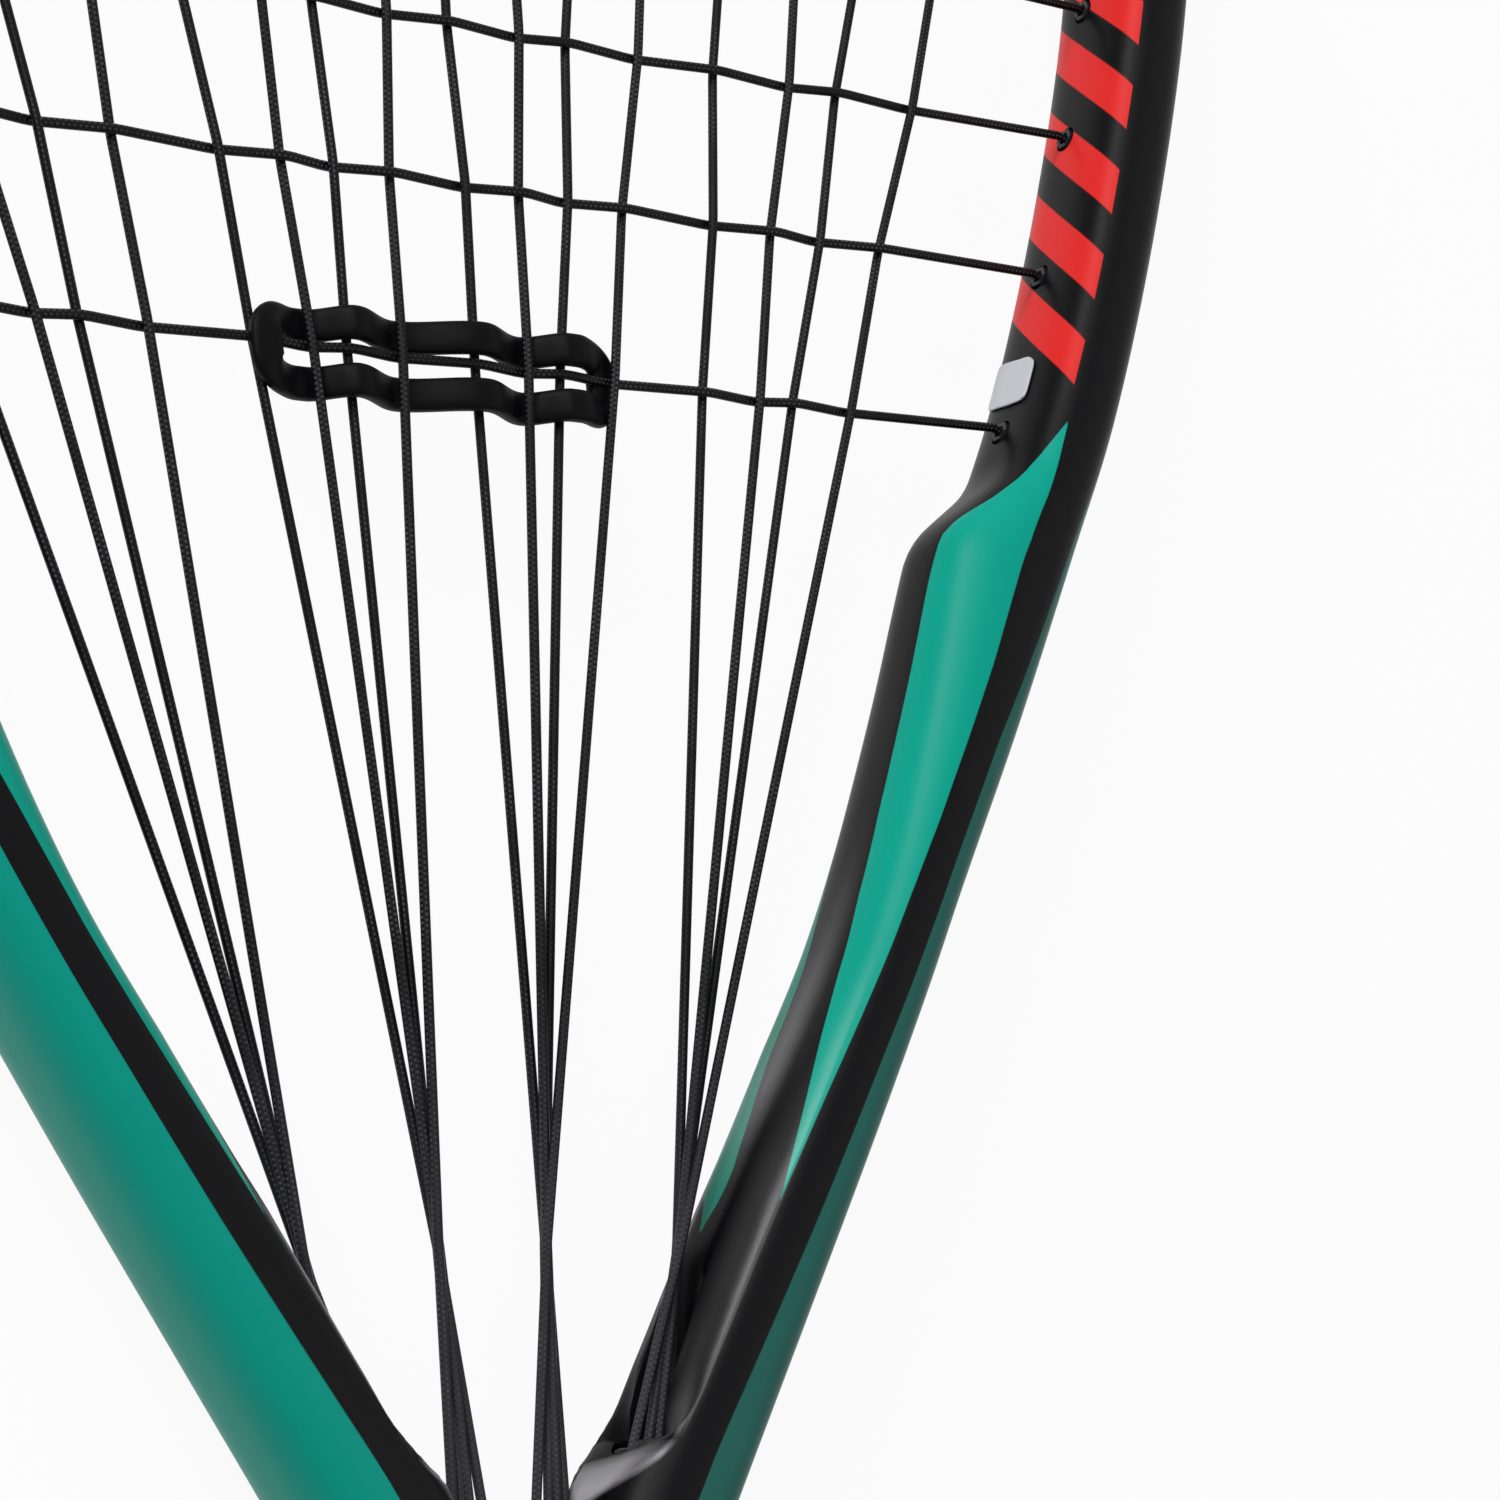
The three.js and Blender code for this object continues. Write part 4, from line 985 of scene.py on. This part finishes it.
def frame_body():
    """Tube without its cuts, and the parts of the cutter for its groove and string holes."""
    stations = tube_stations()
    vertices, faces, uvs = loft([tube_ring(s) for s in stations], along=[s / 1000 for s in stations])
    body = outward_faces(mesh_piece("frame_shell", vertices, faces, uvs, material_index=PAINT_INDEX))
    body.data.materials.append(FRAME_PAINT)
    body.data.materials.append(CUT_BLACK)
    reach = distance_at(GROOVE_END_Y)
    low, high = TUBE_HALF - GROOVE_DEPTH, TUBE_HALF + CUT_OVERRUN
    section = ((low, -GROOVE_HALF), (high, -GROOVE_HALF), (high, GROOVE_HALF), (low, GROOVE_HALF))
    rings = []
    for i in range(GROOVE_STEPS + 1):
        s = -reach + 2 * reach * i / GROOVE_STEPS
        rings.append([beside(s, u, z) for u, z in section])
    parts = [loft(rings)[:2]]
    holes = [(m["distance"], HOLE_LIFT) for m in MAINS]
    for s in CROSS_DISTANCES:
        holes += [(s, -HOLE_LIFT), (-s, -HOLE_LIFT)]
    for s, z in holes:
        inner = inner_half(spine_frame(s)[0][1]) + CUT_OVERRUN
        parts.append(rod(beside(s, -inner, z), beside(s, TUBE_HALF, z), BARREL_RADIUS + CLEARANCE))
    return body, parts


def saddle_solid():
    """Bridge between the arms at the bottom of the V, rounded along its top and faces."""
    rings = []
    for i in range(SADDLE_COLUMNS + 1):
        share = 2 * i / SADDLE_COLUMNS - 1
        top = SADDLE_TOP_Y + SADDLE_DIP * share * share
        middle, half = (top + SADDLE_BOTTOM_Y) / 2, (top - SADDLE_BOTTOM_Y) / 2
        ring = []
        for c, d in circle(SADDLE_SIDES):
            y = middle + half * rounded(c, SADDLE_Y_POWER)
            z = SADDLE_HEIGHT / 2 * rounded(d, SADDLE_Z_POWER)
            ring.append(np.array((SADDLE_HALF * share, y, z)))
        rings.append(ring)
    vertices, faces, uvs = loft(rings)
    uvs = [SADDLE_SKIN for _ in uvs]
    return outward_faces(mesh_piece("saddle", vertices, faces, uvs, material_index=PAINT_INDEX))


def plate(center, down, size, stops):
    """Rounded oblong across a bundle of strings, by (distance down, share of its size) of its rings."""
    across = np.array((-down[1], down[0], 0))
    rings = []
    for distance, share in stops:
        ring = []
        for c, d in circle(PLATE_SIDES):
            u = size[0] * share * rounded(c, PLATE_POWER)
            z = size[1] * share * rounded(d, PLATE_POWER)
            ring.append(center + down * distance + across * u + np.array((0, 0, z)))
        rings.append(ring)
    return loft(rings)[:2]


def plate_seats():
    """Name, centre, direction and size of the plates that the bundles run into."""
    outer = MAINS[-BUNDLE:]
    foot = sum(m["foot"] for m in outer) / len(outer)
    down = foot - sum(m["pinch"] for m in outer) / len(outer)
    down /= np.linalg.norm(down)
    flip = np.array((-1, 1, 1))
    return (
        ("right", foot, down, OUTER_PLATE),
        ("left", foot * flip, down * flip, OUTER_PLATE),
        ("middle", np.array((0, SADDLE_TOP_Y, 0)), np.array((0, -1.0, 0)), MIDDLE_PLATE),
    )


def pocket_parts():
    """Parts of the cutter for the pockets that hold the plates and the strings' loops below them."""
    parts = []
    for _, seat, down, size in plate_seats():
        grown = (size[0] + CLEARANCE, size[1] + CLEARANCE)
        parts.append(plate(seat, down, grown, ((-CUT_OVERRUN, 1), (INSERT_DEPTH + POCKET_DEPTH, 1))))
    return parts


tube, cuts = frame_body()
tube = cut(tube, saddle_solid(), "UNION")
tube = cut(tube, outward_faces(joined("cutters", cuts + pocket_parts())))
tube.data.polygons.foreach_set("use_smooth", [True] * len(tube.data.polygons))
tube.data.set_sharp_from_angle(angle=math.radians(SHARP_ANGLE))
tube.data.materials.clear()
finish_piece(tube, [FRAME_PAINT, CUT_BLACK])
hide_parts("frame_tube")

for name, seat, down, size in plate_seats():
    stops = ((PLATE_SINK, PLATE_TOP_SHARE), (PLATE_SINK + PLATE_CHAMFER, 1), (INSERT_DEPTH, 1))
    vertices, faces = plate(seat, down, size, stops)
    inlay = outward_faces(mesh_piece("throat_plate_" + name, vertices, faces, smooth=False))
    finish_piece(inlay, [GUARD])
    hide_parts("throat_insert_" + name)

for name, points in (("main_string", main_string_points()), ("cross_string", cross_string_points())):
    cord = cord_mesh(name + "_cord", points, STRING_RADIUS, STRING_SIDES)
    finish_piece(cord, [STRING])
    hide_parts(name)


# Damper


def damper_path():
    """Centreline points and heights of the closed loop, each half from one end round the other."""
    nearest = 1 - (2 * DAMPER_RAIL + DAMPER_WIDTH / 2) / FIRST_CROSS_PITCH
    rise = DAMPER_THICKNESS / 2 + CLEARANCE + STRING_RADIUS - WEAVE_LIFT * nearest
    end_thickness = DAMPER_THICKNESS * DAMPER_END_SHARE
    fall = end_thickness / 2 + STRING_RADIUS
    near = [m for m in MAINS if abs(main_x(m, LOW_CROSS_Y)) < DAMPER_NEAR]
    stops = [(main_x(m, LOW_CROSS_Y), -in_front(m, 0) * rise) for m in near]
    held, last = stops[-1][0] + DAMPER_HOLD, stops[-1][1]
    fallen = DAMPER_REACH - DAMPER_END_IN
    turned = math.copysign(fall, last)
    stops = [(-fallen, turned), (-held, -last)] + stops + [(held, last), (fallen, -turned)]
    straight = DAMPER_REACH - DAMPER_WIDTH / 2 - DAMPER_END_RUN
    power = 2 / DAMPER_END_EXPONENT
    plan = []
    for sign in (1, -1):
        for i in range(DAMPER_RUN_STEPS):
            plan.append((sign * straight * (2 * i / DAMPER_RUN_STEPS - 1), -sign * DAMPER_RAIL))
        for i in range(DAMPER_END_STEPS):
            angle = math.pi * i / DAMPER_END_STEPS
            c, d = math.cos(angle), math.sin(angle)
            plan.append((sign * (straight + DAMPER_END_RUN * d**power), -sign * DAMPER_RAIL * rounded(c, power)))
    path = []
    for x, y in plan:
        share = min(1, max(0, (abs(x) - held) / (fallen - held)))
        thickness = DAMPER_THICKNESS + (end_thickness - DAMPER_THICKNESS) * share
        path.append((np.array((x, y, stepped(stops, x))), thickness))
    return path


def damper_body():
    """Worm of rounded section along the closed path."""
    path = damper_path()
    rings = []
    for i, (point, height) in enumerate(path):
        after, before = path[(i + 1) % len(path)][0], path[i - 1][0]
        across = np.array((after[1] - before[1], before[0] - after[0], 0))
        across /= np.linalg.norm(across)
        ring = []
        for c, d in circle(DAMPER_SIDES):
            u = DAMPER_WIDTH / 2 * rounded(c, DAMPER_Y_POWER)
            z = height / 2 * rounded(d, DAMPER_Z_POWER)
            ring.append(point + across * u + np.array((0, LOW_CROSS_Y - DAMPER_DROP, z)))
        rings.append(ring)
    vertices, faces, uvs = loft(rings, closed=True)
    return outward_faces(mesh_piece("damper_worm", vertices, faces, uvs))


damper = finish_piece(damper_body(), [RUBBER])
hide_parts("string_damper")


# Label


def skin_point(s, turn, lift):
    """Point above the tube's skin, without its recess."""
    point, outward = spine_frame(s)
    y = point[1]
    angle = 2 * math.pi * turn
    c, d = math.cos(angle), math.sin(angle)
    power = 2 / SECTION_EXPONENT
    half = outer_half(y) if c > 0 else inner_half(y)
    height = tube_height(y) / 2
    slope = np.array((c / half, d / height))
    slope *= lift / np.linalg.norm(slope)
    u, z = half * rounded(c, power) + slope[0], height * rounded(d, power) + slope[1]
    return point + outward * u + np.array((0, 0, z))


def label_film():
    """Blank film with rounded corners, bent over the inner wall of the head."""
    steps, corner, cut_in = LABEL_STEPS, LABEL_CORNER_EXPONENT, LABEL_CORNER_SHARE
    points = []
    for lift in (LABEL_LIFT, LABEL_LIFT + LABEL_THICKNESS):
        for i in range(steps + 1):
            for j in range(steps + 1):
                a, b = 2 * i / steps - 1, 2 * j / steps - 1
                inset = 1 - cut_in * abs(a) ** corner * abs(b) ** corner
                x, y = a * inset, b * inset
                middle = (LABEL_FROM + LABEL_TO) / 2 - LABEL_LEAN * y / 2
                s = middle + (LABEL_TO - LABEL_FROM) / 2 * x
                turn = (LABEL_FRONT + LABEL_BACK) / 2 + (LABEL_BACK - LABEL_FRONT) / 2 * y
                points.append(skin_point(s, turn, lift))
    n, sheet = steps + 1, (steps + 1) ** 2
    faces = []
    for i in range(steps):
        for j in range(steps):
            quad = (i * n + j, i * n + j + 1, (i + 1) * n + j + 1, (i + 1) * n + j)
            faces += [quad[::-1], tuple(sheet + k for k in quad)]
    rim = [i * n for i in range(steps + 1)] + [steps * n + j for j in range(1, n)]
    rim += [i * n + steps for i in range(steps - 1, -1, -1)] + [j for j in range(steps - 1, 0, -1)]
    for a, b in zip(rim, rim[1:] + rim[:1]):
        faces.append((a, b, sheet + b, sheet + a))
    return outward_faces(mesh_piece("label_film", points, faces))


film = finish_piece(label_film(), [LABEL])
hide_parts("frame_label")

# Carried-over nodes
CARRIED = (
    (NYLON, ("tip_grommet_strip", "right_grommet_strip", "left_grommet_strip")),
    (GUARD, ("bumper_guard",)),
    (FOAM, ("front_handle_half", "back_handle_half")),
    (GRIP, ("grip_wrap",)),
    (TAPE, ("finishing_tape",)),
    (COLLAR, ("grip_collar",)),
    (CAP, ("butt_cap", "butt_cap_plug")),
    (STEEL, ("right_cap_staple", "left_cap_staple")),
)
for material, nodes in CARRIED:
    for node in nodes:
        dress(node, material)


# Stage

FLOOR_SIZE = 12
FLOOR_TONE = 0.82
FLOOR_WHITE = 0.93
ROOM_LIGHT = 0.22
WHITE = (1, 1, 1, 1)
# Square area lights aimed at the racket: name, place, side in metres and power in watts
LIGHTS = (
    ("key", (-0.7, 0.7, 1.1), 1.0, 12),
    ("fill", (0.9, -0.3, 1.2), 1.0, 2.5),
    ("rim", (-0.9, 1.1, 0.7), 0.5, 9),
)
# Camera of the main view: yaw, tilt and roll in degrees, aim and distance in metres, lens in mm
CAMERA_ANGLES = (34.29, 11.84, -4.71)
CAMERA_TARGET = (0.0407, 0.0193, 0.0163)
CAMERA_DISTANCE = 0.4366
CAMERA_LENS = 84
CAMERA_SENSOR = 36
CAMERA_NEAR = 0.01


def stage_floor():
    """Pale floor that turns white in what the camera and the reflections see."""
    bpy.ops.mesh.primitive_plane_add(size=FLOOR_SIZE, location=(0, 0, 0))
    floor = bpy.context.object
    floor.name = "floor"
    n = Nodes("floor_pale")
    path = n.new("ShaderNodeLightPath").outputs
    seen = n.math("ADD", path["Is Camera Ray"], path["Is Glossy Ray"])
    seen = n.math("ADD", seen, path["Is Transmission Ray"], clamp=True)
    diffuse = n.new("ShaderNodeBsdfDiffuse", {"Color": (FLOOR_TONE, FLOOR_TONE, FLOOR_TONE, 1)})
    glow = n.new("ShaderNodeEmission", {"Color": WHITE, "Strength": 1.0})
    mixed = n.new("ShaderNodeMixShader", {0: n.product(seen, FLOOR_WHITE), 1: diffuse.outputs[0], 2: glow.outputs[0]})
    n.tree.links.new(mixed.outputs[0], n.output.inputs[0])
    floor.data.materials.append(n.material)


def stage_world():
    """Soft light from all round, with a white background in what the camera and the reflections see."""
    world = bpy.data.worlds.new("studio")
    bpy.context.scene.world = world
    world.use_nodes = True
    nodes, links = world.node_tree.nodes, world.node_tree.links
    nodes.clear()
    path = nodes.new("ShaderNodeLightPath").outputs
    seen = path["Is Camera Ray"]
    for ray in ("Is Glossy Ray", "Is Transmission Ray"):
        either = nodes.new("ShaderNodeMath")
        either.operation = "MAXIMUM"
        links.new(seen, either.inputs[0])
        links.new(path[ray], either.inputs[1])
        seen = either.outputs[0]
    mixed = nodes.new("ShaderNodeMixShader")
    links.new(seen, mixed.inputs[0])
    for slot, strength in ((1, ROOM_LIGHT), (2, 1.0)):
        background = nodes.new("ShaderNodeBackground")
        background.inputs[0].default_value = WHITE
        background.inputs[1].default_value = strength
        links.new(background.outputs[0], mixed.inputs[slot])
    links.new(mixed.outputs[0], nodes.new("ShaderNodeOutputWorld").inputs[0])


def area_light(name, location, size, power):
    data = bpy.data.lights.new(name, "AREA")
    data.shape = "RECTANGLE"
    data.size = data.size_y = size
    data.energy = power
    light = bpy.data.objects.new(name, data)
    bpy.context.scene.collection.objects.link(light)
    light.location = location
    light.rotation_euler = (-Vector(location)).to_track_quat("-Z", "Y").to_euler()


def stage_camera():
    yaw, tilt, roll = (math.radians(a) for a in CAMERA_ANGLES)
    back = Vector((-math.sin(yaw) * math.cos(tilt), -math.sin(tilt), math.cos(yaw) * math.cos(tilt)))
    right = (-back).cross(Vector((0, 1, 0))).normalized()
    up = right.cross(-back)
    r = math.cos(roll) * right + math.sin(roll) * up
    u = -math.sin(roll) * right + math.cos(roll) * up
    data = bpy.data.cameras.new("camera")
    data.sensor_width = CAMERA_SENSOR
    data.lens = CAMERA_LENS
    data.clip_start = CAMERA_NEAR
    camera = bpy.data.objects.new("camera", data)
    bpy.context.scene.collection.objects.link(camera)
    turn = Matrix((r, u, back)).transposed().to_4x4()
    camera.matrix_world = Matrix.Translation(Vector(CAMERA_TARGET) + back * CAMERA_DISTANCE) @ turn
    bpy.context.scene.camera = camera


stage_camera()
stage_floor()
stage_world()
for light in LIGHTS:
    area_light(*light)
bpy.context.scene.view_settings.view_transform = "Standard"
